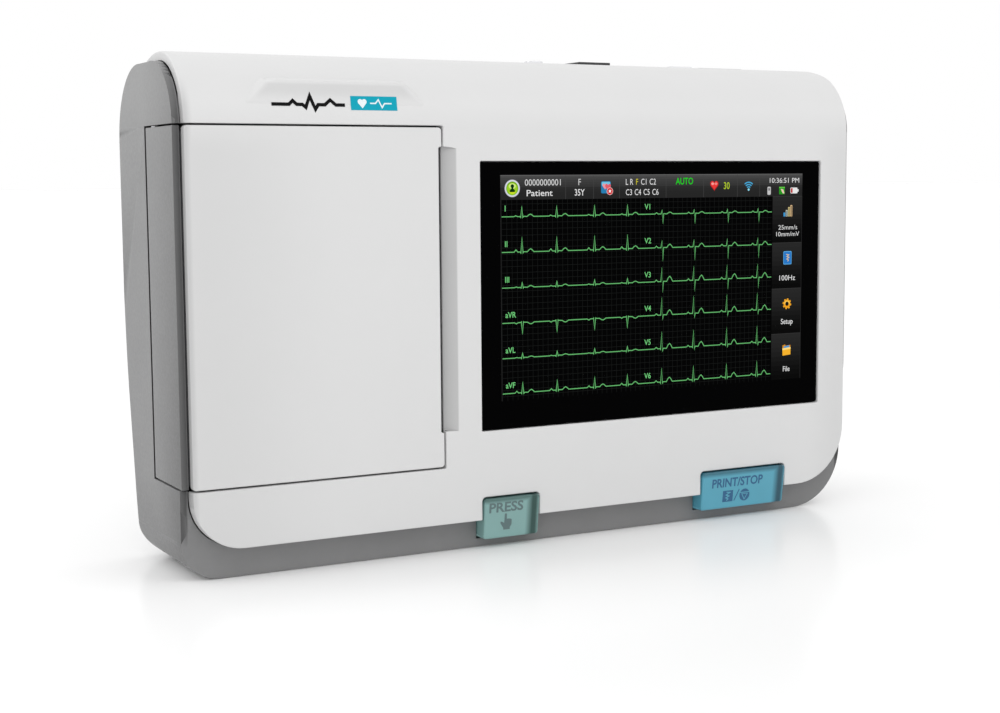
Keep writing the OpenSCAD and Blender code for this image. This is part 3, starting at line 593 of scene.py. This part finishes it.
def facet_pad():
    xs = [-97.0 + 0.5 * i for i in range(129)]
    zs = [122.0 + 0.22 * j for j in range(55)]
    verts, faces = [], []
    for z in zs:
        for x in xs:
            ys = roll_surface(z)
            m = pad_mask(x, z)
            proud = (ys - smin(ys, pad_line(z), 0.15)) * m
            y = ys - proud + 0.12 * (1 - sstep(proud / 0.16))
            verts.append((x, y, z))
    nx, nz = len(xs), len(zs)
    for j in range(nz - 1):
        for i in range(nx - 1):
            a = j * nx + i
            faces.append((a, a + 1, a + 1 + nx, a + nx))
    base = len(verts)
    for z in zs:
        for x in xs:
            verts.append((x, roll_surface(z) + 0.9, z))
    for j in range(nz - 1):
        for i in range(nx - 1):
            a = base + j * nx + i
            faces.append((a, a + nx, a + 1 + nx, a + 1))
    rim = [i for i in range(nx)] + [nx * j + nx - 1 for j in range(1, nz)] + \
          [nx * (nz - 1) + i for i in range(nx - 2, -1, -1)] + [nx * j for j in range(nz - 2, 0, -1)]
    for k in range(len(rim)):
        a, b = rim[k], rim[(k + 1) % len(rim)]
        faces.append((a, a + base, b + base, b))
    return mesh_object("badge_pad", verts, faces, [WHITE_PAD], "housing", smooth=True)


facet_pad()


# ---------------------------------------------------------------- flat graphics
class Sheet:
    """Collects flat coloured shapes that lie on a plane facing -Y; each colour becomes one material slot."""

    def __init__(self, name, body, origin, y, sx=1.0, sz=-1.0, surface=None):
        self.name, self.body, self.origin, self.y = name, body, origin, y
        self.sx, self.sz = sx, sz
        self.surface = surface
        self.verts, self.faces, self.fm, self.mats, self.index = [], [], [], [], {}

    def mat(self, key):
        if key not in self.index:
            self.index[key] = len(self.mats)
            if isinstance(key, tuple):
                nm = "lit_%02x%02x%02x" % key
                m = bpy.data.materials.get(nm) or plain_glow(nm, lin(*key))
            else:
                m = key
            self.mats.append(m)
        return self.index[key]

    def place(self, u, v, layer):
        x, z = self.origin[0] + u * self.sx, self.origin[1] + v * self.sz
        y = self.surface(x, z) if self.surface else self.y
        return (x, y - layer * 0.012, z)

    def poly(self, pts, key, layer):
        i0 = len(self.verts)
        self.verts += [self.place(u, v, layer) for u, v in pts]
        area = sum(pts[i][0] * pts[(i + 1) % len(pts)][1] - pts[(i + 1) % len(pts)][0] * pts[i][1] for i in range(len(pts)))
        idx = list(range(i0, i0 + len(pts)))
        if area * self.sx * self.sz < 0:
            idx.reverse()
        self.faces.append(idx)
        self.fm.append(self.mat(key))

    def tris(self, pts, tri, key, layer):
        i0 = len(self.verts)
        self.verts += [self.place(u, v, layer) for u, v in pts]
        for t in tri:
            self.faces.append([i0 + i for i in t])
            self.fm.append(self.mat(key))

    def rect(self, u0, v0, u1, v1, key, layer):
        self.poly([(u0, v0), (u1, v0), (u1, v1), (u0, v1)], key, layer)

    def rrect(self, u0, v0, u1, v1, r, key, layer, n=5):
        pts = []
        for cu, cv, a0 in ((u1 - r, v0 + r, -90), (u1 - r, v1 - r, 0), (u0 + r, v1 - r, 90), (u0 + r, v0 + r, 180)):
            for i in range(n + 1):
                a = math.radians(a0 + 90 * i / n)
                pts.append((cu + r * math.cos(a), cv + r * math.sin(a)))
        self.poly(pts, key, layer)

    def disc(self, u, v, r, key, layer, n=28, ry=None):
        ry = r if ry is None else ry
        self.poly([(u + r * math.cos(2 * math.pi * i / n), v + ry * math.sin(2 * math.pi * i / n)) for i in range(n)], key, layer)

    def arc(self, u, v, r, w, a0, a1, key, layer, n=12):
        for i in range(n):
            b0, b1 = (math.radians(a0 + (a1 - a0) * (i + k) / n) for k in (0, 1))
            self.poly([(u + (r - w / 2) * math.cos(b0), v - (r - w / 2) * math.sin(b0)), (u + (r + w / 2) * math.cos(b0), v - (r + w / 2) * math.sin(b0)),
                       (u + (r + w / 2) * math.cos(b1), v - (r + w / 2) * math.sin(b1)), (u + (r - w / 2) * math.cos(b1), v - (r - w / 2) * math.sin(b1))], key, layer)

    def line(self, pts, w, key, layer):
        """A ribbon with mitred joints."""
        left, right = [], []
        for i, (u, v) in enumerate(pts):
            a = Vector(pts[max(i - 1, 0)])
            b = Vector(pts[min(i + 1, len(pts) - 1)])
            p = Vector((u, v))
            d0 = (p - a).normalized() if i > 0 else (b - p).normalized()
            d1 = (b - p).normalized() if i < len(pts) - 1 else d0
            n0, n1 = Vector((-d0.y, d0.x)), Vector((-d1.y, d1.x))
            n = (n0 + n1)
            n = n.normalized() if n.length > 1e-6 else n0
            k = w / 2 / max(0.35, n.dot(n1))
            left.append(tuple(p + n * k))
            right.append(tuple(p - n * k))
        for i in range(len(pts) - 1):
            self.poly([left[i], left[i + 1], right[i + 1], right[i]], key, layer)

    def text(self, body, u, v, h, key, layer, align="LEFT", squeeze=0.86, bold=0.0, width=None):
        """Plain lettering of cap height h, its foot at v."""
        cu = bpy.data.curves.new("t", "FONT")
        cu.body = body
        cu.size = 1.0
        cu.resolution_u = 3
        cu.offset = bold
        ob = bpy.data.objects.new("t", cu)
        scene.collection.objects.link(ob)
        dg = bpy.context.evaluated_depsgraph_get()
        me = bpy.data.meshes.new_from_object(ob.evaluated_get(dg))
        co = [p.co.copy() for p in me.vertices]
        fs = [list(p.vertices) for p in me.polygons]
        bpy.data.objects.remove(ob)
        bpy.data.curves.remove(cu)
        bpy.data.meshes.remove(me)
        if not co:
            return
        s = h / 0.69
        x0 = min(c.x for c in co)
        x1 = max(c.x for c in co)
        if width:
            squeeze = width / ((x1 - x0) * s)
        off = {"LEFT": -x0, "CENTER": -(x0 + x1) / 2, "RIGHT": -x1}[align]
        pts = [(u + (c.x + off) * s * squeeze, v - c.y * s) for c in co]
        self.tris(pts, [f if self.sx > 0 else f[::-1] for f in fs], key, layer)

    def build(self):
        return mesh_object(self.name, self.verts, self.faces, self.mats, self.body, face_mats=self.fm)


# display content, in millimetres from the active area's upper left corner
GY = -25.2
sc = Sheet("display_picture", "housing", (-17.4, 107.0), GY)
W, H = 108.0, 64.8
TRACE, LABEL = (104, 190, 112), (112, 205, 122)
HDR = 0.108 * H
shades = [74, 66, 60, 56, 52, 42, 39, 37, 36, 36]
for i, g in enumerate(shades):
    sc.rect(0, HDR * i / 10, W, HDR * (i + 1) / 10, (g, g, g), 1)
sc.rect(0, 0, W, 0.16, (104, 104, 104), 2)
for u in (0.199, 0.287, 0.370, 0.523, 0.650, 0.767, 0.846):
    sc.rect(u * W - 0.07, 0.1, u * W + 0.07, HDR, (66, 66, 66), 2)
cells = [0.108, 0.331, 0.553, 0.773, 0.997]
for a, b in zip(cells, cells[1:]):
    for i in range(10):
        g = [38, 36, 34, 31, 27, 22, 17, 12, 8, 5][i]
        sc.rect(0.893 * W, H * (a + (b - a) * i / 10), W, H * (a + (b - a) * (i + 1) / 10), (g, g, g), 1)
    sc.rect(0.893 * W, H * a, W, H * a + 0.12, (58, 58, 58), 2)
sc.rect(W - 0.12, HDR, W, 0.997 * H, (46, 46, 46), 2)
# paper grid
i = 0
while 0.3 + i * 1.68 < 0.889 * W:
    u = 0.3 + i * 1.68
    sc.rect(u - 0.06, HDR, u + 0.06, 0.997 * H, (24, 26, 25), 1)
    i += 1
j = 0
while HDR + 1.2 + j * 1.78 < 0.995 * H:
    v = HDR + 1.2 + j * 1.78
    sc.rect(0.3, v - 0.06, 0.889 * W, v + 0.06, (24, 26, 25), 1)
    j += 1
sc.rect(0, HDR, 0.14, 0.997 * H, (44, 44, 44), 2)

# traces
LEFT_BEATS = [0.064, 0.171, 0.290, 0.396]
RIGHT_BEATS = [0.510, 0.618, 0.733, 0.841]
rows = [  # label, base, p, q, r, s, t, right-hand label, p, q, r, s, t
    ("I", 0.182, 0.004, 0.004, 0.044, 0.004, 0.010, "V1", 0.006, 0.0, 0.016, 0.044, 0.008),
    ("II", 0.338, 0.010, 0.005, 0.063, 0.004, 0.013, "V2", 0.008, 0.0, 0.031, 0.060, 0.016),
    ("III", 0.495, 0.003, 0.003, 0.021, 0.003, 0.007, "V3", 0.008, 0.0, 0.064, 0.048, 0.023),
    ("aVR", 0.651, -0.005, -0.003, -0.050, -0.003, -0.008, "V4", 0.007, 0.0, 0.080, 0.020, 0.023),
    ("aVL", 0.808, 0.002, 0.004, 0.020, 0.002, 0.005, "V5", 0.007, 0.004, 0.078, 0.012, 0.022),
    ("aVF", 0.965, 0.008, 0.004, 0.046, 0.004, 0.012, "V6", 0.008, 0.006, 0.064, 0.006, 0.020),
]


def beat(c, base, p, q, r, s, t):
    pts = [(c - 0.024, base), (c - 0.0185, base - p), (c - 0.013, base), (c - 0.0055, base), (c - 0.0035, base + q),
           (c, base - r), (c + 0.0030, base + s), (c + 0.0052, base - 0.001), (c + 0.016, base), (c + 0.0215, base - t * 0.72),
           (c + 0.0265, base - t), (c + 0.0305, base - t * 0.7), (c + 0.036, base), (c + 0.039, base)]
    return [(u * W, v * H) for u, v in pts]


for lab, base, p, q, r, s, t, lab2, p2, q2, r2, s2, t2 in rows:
    pts = [(0.003 * W, base * H)]
    for c in LEFT_BEATS:
        pts += beat(c, base, p, q, r, s, t)
    for c in RIGHT_BEATS:
        pts += beat(c, base, p2, q2, r2, s2, t2)
    pts.append((0.890 * W, base * H))
    sc.line(pts, 0.25, TRACE, 3)
    sc.text(lab, 0.0125 * W, (base - 0.024) * H, 1.62, LABEL, 4, squeeze=0.9, bold=0.012)
    sc.text(lab2, 0.452 * W, (base - 0.022) * H, 1.62, LABEL, 4, squeeze=0.9, bold=0.012)

# patient cell
cu, cv = 0.0355 * W, 0.058 * H
sc.disc(cu, cv, 2.55, (122, 124, 136), 3)
sc.disc(cu, cv, 2.42, (214, 216, 226), 4)
sc.disc(cu, cv, 1.98, (116, 168, 28), 5)
sc.disc(cu, cv + 0.15, 1.72, (150, 204, 36), 6)
sc.disc(cu, cv - 0.62, 1.15, (206, 236, 130), 7, ry=0.8)
sc.disc(cu, cv + 1.0, 1.0, (206, 226, 40), 7, ry=0.55)
sc.disc(cu, cv - 0.62, 0.56, (4, 52, 12), 8)
sc.poly([(cu - 0.28, cv - 0.3), (cu + 0.28, cv - 0.3), (cu + 0.34, cv + 0.1), (cu + 0.86, cv + 0.55), (cu + 0.84, cv + 1.05),
         (cu - 0.84, cv + 1.05), (cu - 0.86, cv + 0.55), (cu - 0.34, cv + 0.1)], (4, 52, 12), 8)
TXT = (226, 226, 226)
sc.text("0000000001", 0.0735 * W, 0.0465 * H, 1.8, (216, 216, 216), 4, width=11.9)
sc.text("Patient", 0.0790 * W, 0.0925 * H, 1.75, TXT, 4, bold=0.006, width=8.6)
sc.text("F", 0.243 * W, 0.0465 * H, 1.85, (206, 206, 206), 4, "CENTER")
sc.text("35Y", 0.243 * W, 0.0925 * H, 1.85, TXT, 4, "CENTER", 0.8, 0.008)
# electrode cell icon
x0, y0 = 0.311 * W, 0.030 * H
sc.rrect(x0, y0, x0 + 3.3, y0 + 3.5, 0.4, (38, 126, 178), 3)
sc.rrect(x0 + 0.2, y0 + 0.15, x0 + 3.1, y0 + 1.3, 0.3, (110, 196, 226), 4)


def heart(u, v, w, key, layer, n=26):
    pts = []
    for k in range(n):
        t = 2 * math.pi * k / n
        px = 16 * math.sin(t) ** 3
        py = 13 * math.cos(t) - 5 * math.cos(2 * t) - 2 * math.cos(3 * t) - math.cos(4 * t)
        pts.append((u + px / 34 * w, v - (py + 2.5) / 34 * w * 1.12))
    sc.poly(pts, key, layer)


heart(x0 + 1.35, y0 + 1.55, 1.9, (236, 150, 158), 5)
heart(x0 + 2.35, y0 + 1.75, 2.1, (222, 92, 104), 6)
sc.disc(x0 + 3.0, y0 + 2.9, 1.1, (244, 190, 190), 7)
sc.disc(x0 + 3.0, y0 + 2.9, 0.95, (206, 30, 34), 8)
for a in (45, -45):
    c, s_ = math.cos(math.radians(a)) * 0.5, math.sin(math.radians(a)) * 0.5
    sc.line([(x0 + 3.0 - c, y0 + 2.9 - s_), (x0 + 3.0 + c, y0 + 2.9 + s_)], 0.3, (250, 250, 250), 9)
# electrodes
u = 0.3905 * W
for word, key, step in (("L", TXT, 1.55), ("R", TXT, 2.05), ("F", (206, 196, 40), 1.75), ("C1", TXT, 3.05), ("C2", TXT, 3.0)):
    sc.text(word, u, 0.0465 * H, 1.75, key, 4, squeeze=0.78)
    u += step
u = 0.3905 * W
for word in ("C3", "C4", "C5", "C6"):
    sc.text(word, u, 0.0935 * H, 1.75, TXT, 4, squeeze=0.78)
    u += 3.12
sc.text("AUTO", 0.5845 * W, 0.0465 * H, 1.95, (24, 206, 30), 4, "CENTER", 0.80, 0.012)
heart(0.6865 * W, 0.0555 * H, 3.25, (206, 34, 36), 4)
heart(0.6865 * W, 0.0535 * H, 2.7, (232, 58, 56), 5)
sc.disc(0.6865 * W - 0.62, 0.045 * H, 0.5, (246, 160, 156), 6, ry=0.38)
sc.disc(0.6865 * W + 0.62, 0.045 * H, 0.5, (240, 130, 126), 6, ry=0.38)
sc.text("30", 0.7295 * W, 0.070 * H, 2.05, (176, 200, 44), 4, "CENTER", 0.8, 0.008)
wu, wv = 0.8065 * W, 0.074 * H
for k, rr in enumerate((0.85, 1.55, 2.25)):
    sc.arc(wu, wv, rr, 0.36, 48, 132, (70, 168, 214), 4)
sc.disc(wu, wv, 0.36, (150, 226, 246), 5)
sc.text("10:36:51 PM", 0.988 * W, 0.0430 * H, 1.5, (226, 226, 226), 4, "RIGHT", width=11.5)
# memory, mains and battery marks
sc.rrect(0.8735 * W, 0.0615 * H, 0.8735 * W + 1.3, 0.100 * H, 0.35, (196, 196, 196), 4)
sc.rect(0.8735 * W + 0.3, 0.068 * H, 0.8735 * W + 1.0, 0.080 * H, (120, 120, 122), 5)
sc.rect(0.9155 * W, 0.0625 * H, 0.9155 * W + 2.2, 0.098 * H, (38, 150, 32), 4)
sc.rect(0.9155 * W, 0.0625 * H, 0.9155 * W + 2.2, 0.068 * H, (96, 200, 66), 5)
sc.poly([(0.921 * W, 0.072 * H), (0.930 * W, 0.075 * H), (0.9345 * W, 0.094 * H), (0.929 * W, 0.094 * H), (0.925 * W, 0.084 * H)], (240, 206, 186), 6)
sc.rrect(0.9565 * W, 0.0665 * H, 0.9565 * W + 2.75, 0.0945 * H, 0.25, (232, 232, 232), 4)
sc.rect(0.9565 * W + 0.18, 0.0695 * H, 0.9565 * W + 0.85, 0.0915 * H, (188, 24, 26), 5)
sc.rrect(0.9565 * W + 2.7, 0.0745 * H, 0.9565 * W + 3.2, 0.0865 * H, 0.15, (232, 232, 232), 4)

# sidebar
cx = 0.9485 * W
for k, (hh, key) in enumerate(((1.2, (58, 148, 206)), (2.0, (190, 196, 176)), (2.9, (214, 196, 134)), (3.5, (226, 190, 142)))):
    b0 = cx - 1.75 + k * 0.9
    sc.rect(b0, 0.205 * H - hh, b0 + 0.72, 0.205 * H, key, 3)
    if k:
        sc.rect(b0 + 0.22, 0.205 * H - hh + 0.25, b0 + 0.5, 0.205 * H - 0.1, (70, 66, 52) if k > 1 else (48, 92, 116), 4)
sc.text("25mm/s", cx, 0.268 * H, 1.4, (222, 222, 222), 3, "CENTER", width=7.4)
sc.text("10mm/mV", cx, 0.300 * H, 1.4, (222, 222, 222), 3, "CENTER", width=9.0)
sc.rrect(cx - 1.6, 0.373 * H, cx + 1.6, 0.437 * H, 0.35, (92, 170, 226), 3)
sc.rrect(cx - 1.42, 0.3765 * H, cx + 1.42, 0.4335 * H, 0.28, (40, 118, 196), 4)
sc.line([(cx - 0.6, 0.388 * H), (cx + 0.5, 0.391 * H), (cx - 0.3, 0.399 * H), (cx + 0.6, 0.403 * H), (cx - 0.3, 0.411 * H), (cx + 0.4, 0.416 * H), (cx + 0.1, 0.423 * H)], 0.26, (214, 190, 150), 5)
sc.text("100Hz", cx, 0.514 * H, 1.6, (226, 226, 226), 3, "CENTER", width=6.2)
gv = 0.6285 * H
for k in range(8):
    a = 2 * math.pi * k / 8 + 0.2
    t0, t1 = 0.24, 0.17
    pts = [(cx + 1.1 * math.cos(a - t0 * 1.3), gv + 1.1 * math.sin(a - t0 * 1.3)), (cx + 1.72 * math.cos(a - t1), gv + 1.72 * math.sin(a - t1)),
           (cx + 1.72 * math.cos(a + t1), gv + 1.72 * math.sin(a + t1)), (cx + 1.1 * math.cos(a + t0 * 1.3), gv + 1.1 * math.sin(a + t0 * 1.3))]
    sc.poly(pts, (240, 168, 36), 3)
sc.disc(cx, gv, 1.32, (238, 160, 30), 4)
sc.disc(cx, gv - 0.25, 1.05, (250, 200, 84), 5, ry=0.75)
sc.disc(cx, gv, 0.68, (22, 22, 22), 6)
sc.text("Setup", cx, 0.7265 * H, 1.65, (226, 226, 226), 3, "CENTER", 0.88, 0.006)
fv = 0.828 * H
sc.poly([(cx - 1.6, fv + 0.2), (cx - 0.6, fv - 0.05), (cx - 0.3, fv + 0.35), (cx + 1.55, fv + 0.15), (cx + 1.6, fv + 3.2), (cx - 1.55, fv + 3.4)], (206, 136, 24), 3)
sc.poly([(cx - 1.1, fv + 0.55), (cx + 1.1, fv + 0.25), (cx + 1.2, fv + 0.9), (cx - 1.0, fv + 1.1)], (76, 150, 206), 4)
sc.poly([(cx - 1.65, fv + 1.15), (cx + 1.6, fv + 0.85), (cx + 1.55, fv + 3.2), (cx - 1.5, fv + 3.45)], (246, 178, 44), 5)
sc.poly([(cx - 1.65, fv + 1.15), (cx + 1.6, fv + 0.85), (cx + 1.6, fv + 1.4), (cx - 1.62, fv + 1.7)], (252, 222, 130), 6)
sc.text("File", cx, 0.9585 * H, 1.6, (226, 226, 226), 3, "CENTER", 0.88, 0.006)
sc.build()


# ---------------------------------------------------------------- badge: a plain pulse line and a small tag
def pad_y(x, z):
    return smin(roll_surface(z), pad_line(z), 0.15) - 0.02


badge = Sheet("badge_print", "housing", (-85.8, 128.4), 0, surface=pad_y)
bh = 3.8


def badge_line(pts, w, key, layer):
    dense = []
    for a, b in zip(pts, pts[1:]):
        n = max(1, int(max(abs(b[0] - a[0]), abs(b[1] - a[1])) / 0.5))
        dense += [(a[0] + (b[0] - a[0]) * k / n, a[1] + (b[1] - a[1]) * k / n) for k in range(n)]
    dense.append(pts[-1])
    badge.line(dense, w, key, layer)


badge_line([(0.3, 2.5), (5.2, 2.5), (6.3, 1.5), (7.4, 2.5), (9.0, 2.5), (9.9, 3.3), (11.2, 0.2), (12.6, 3.75), (13.5, 2.5), (15.4, 2.5), (17.0, 1.2), (18.6, 2.5), (21.2, 2.5)], 0.9, MARK_DARK, 1)
for k in range(8):
    z0, z1 = bh * k / 8, bh * (k + 1) / 8
    badge.rect(22.9, z0, 36.6, z1, MARK_TEAL, 1)
for k in range(2):
    badge.disc(25.7 + 1.2 * k, 1.5, 0.72, MARK_WHITE, 2, n=18)
badge.poly([(25.08, 1.85), (27.52, 1.85), (26.3, 3.3)], MARK_WHITE, 2)
badge_line([(28.6, 1.9), (30.2, 1.9), (31.1, 0.9), (32.1, 3.0), (32.9, 1.9), (35.0, 1.9)], 0.36, MARK_WHITE, 2)
badge.build()

# ---------------------------------------------------------------- printing on the two buttons
def cap_face(top):
    return lambda x, z: -26.9 + (top - z) * 0.125 - 0.02


g1 = Sheet("button_release_print", "release_button", (-23.75, 14.6), 0, surface=cap_face(14.6))
g1.text("PRESS", 6.9, 4.1, 2.75, TEAL_PRINT, 1, "CENTER", width=11.2, bold=0.028)
hx, hz, ax, az = 7.1, 6.35, 1.14, 0.93
g1.poly([(hx + a * ax, hz + b * az) for a, b in ((-0.55, -1.5), (-0.35, -1.75), (-0.1, -1.75), (0.1, -1.5), (0.1, 0), (1.15, 0.1), (1.55, 0.4),
        (1.55, 2.0), (1.1, 2.9), (1.1, 3.5), (-0.75, 3.5), (-0.85, 2.8), (-1.65, 1.4), (-1.7, 0.8), (-1.3, 0.8), (-0.6, 1.3))], TEAL_PRINT, 1)
g1.build()
g2 = Sheet("button_print_print", "print_button", (52.4, 15.2), 0, surface=cap_face(15.2))
g2.text("PRINT/STOP", 13.15, 5.0, 2.7, BLUE_PRINT, 1, "CENTER", width=19.4, bold=0.026)
# recording symbol
g2.rect(7.8, 6.3, 11.7, 9.9, BLUE_PRINT, 1)
g2.line([(9.2, 6.8), (10.5, 6.95), (9.1, 7.7), (10.2, 8.1), (9.1, 8.6), (9.9, 9.0), (9.4, 9.5)], 0.34, BLUE, 2)
g2.line([(12.25, 9.8), (14.0, 6.2)], 0.36, BLUE_PRINT, 1)
# stop symbol
g2.disc(16.2, 8.2, 1.95, BLUE_PRINT, 1)
g2.line([(14.45, 7.4), (17.95, 7.4)], 0.26, BLUE, 2)
g2.poly([(14.9, 7.75), (17.5, 7.75), (16.2, 9.9)], BLUE, 2)
g2.poly([(15.3, 7.95), (17.1, 7.95), (16.2, 9.4)], BLUE_PRINT, 3)
g2.build()

# ---------------------------------------------------------------- stage, lights and camera
def soft_plane(name, size, loc, rot, power, col=(1, 1, 1), size_y=None):
    li = bpy.data.lights.new(name, "AREA")
    li.shape = "RECTANGLE"
    li.size = size
    li.size_y = size_y or size
    li.energy = power
    li.color = col
    ob = bpy.data.objects.new(name, li)
    ob.location = loc
    ob.rotation_euler = rot
    scene.collection.objects.link(ob)
    return ob


def aim(ob, target):
    d = Vector(target) - ob.location
    ob.rotation_mode = "QUATERNION"
    ob.rotation_quaternion = d.to_track_quat("-Z", "Y")


fm, fnt, fp = new_mat("pale_floor")
fp.inputs["Base Color"].default_value = (0.94, 0.94, 0.94, 1)
fp.inputs["Emission Color"].default_value = (1, 1, 1, 1)
fp.inputs["Emission Strength"].default_value = 0.04
fp.inputs["Roughness"].default_value = 0.22
fp.inputs["Specular IOR Level"].default_value = 0.10
ft = tex_coord(fnt)
fn = noise(fnt, ft, 6, 3, 0.5)
fnt.links.new(mix_col(fnt, fn, (0.958, 0.958, 0.958), (0.968, 0.968, 0.968)), fp.inputs["Base Color"])
bm = bmesh.new()
bmesh.ops.create_grid(bm, x_segments=2, y_segments=2, size=30.0)
fme = bpy.data.meshes.new("floor")
bm.to_mesh(fme)
bm.free()
fme.materials.append(fm)
floor = bpy.data.objects.new("floor", fme)
floor.location = (0, 0, -0.0002)
scene.collection.objects.link(floor)

world = bpy.data.worlds.new("studio")
scene.world = world
world.use_nodes = True
bg = next(n for n in world.node_tree.nodes if n.type == "BACKGROUND")
bg.inputs["Color"].default_value = (1, 1, 1, 1)
bg.inputs["Strength"].default_value = 1.0

strip = soft_plane("strip_front", 0.9, (0.0, -0.30, 0.34), (0, 0, 0), 0.32, size_y=0.12)
aim(strip, (0, -0.02, 0.12))
side = soft_plane("side_left", 0.25, (-0.42, 0.06, 0.34), (0, 0, 0), 0.24, size_y=0.25)
aim(side, (-0.112, 0, 0.10))

cam_data = bpy.data.cameras.new("camera")
cam_data.sensor_width = 36.0
cam_data.lens = 1648.06 / 1000.0 * 36.0
cam_data.clip_start = 0.02
cam_data.clip_end = 60.0
cam = bpy.data.objects.new("camera", cam_data)
scene.collection.objects.link(cam)
yaw, pitch, roll = math.radians(28.405), math.radians(6.047), math.radians(-0.409)
fwd = Vector((math.sin(yaw) * math.cos(pitch), math.cos(yaw) * math.cos(pitch), -math.sin(pitch)))
right = Vector((math.cos(yaw), -math.sin(yaw), 0))
up = right.cross(fwd)
r2 = right * math.cos(roll) + up * math.sin(roll)
u2 = -right * math.sin(roll) + up * math.cos(roll)
m = Matrix.Identity(4)
for i in range(3):
    m[i][0], m[i][1], m[i][2] = r2[i], u2[i], -fwd[i]
m.translation = Vector((-0.24115, -0.43802, 0.10510))
cam.matrix_world = m
scene.camera = cam
scene.view_settings.view_transform = "Standard"
scene.view_settings.look = "None"
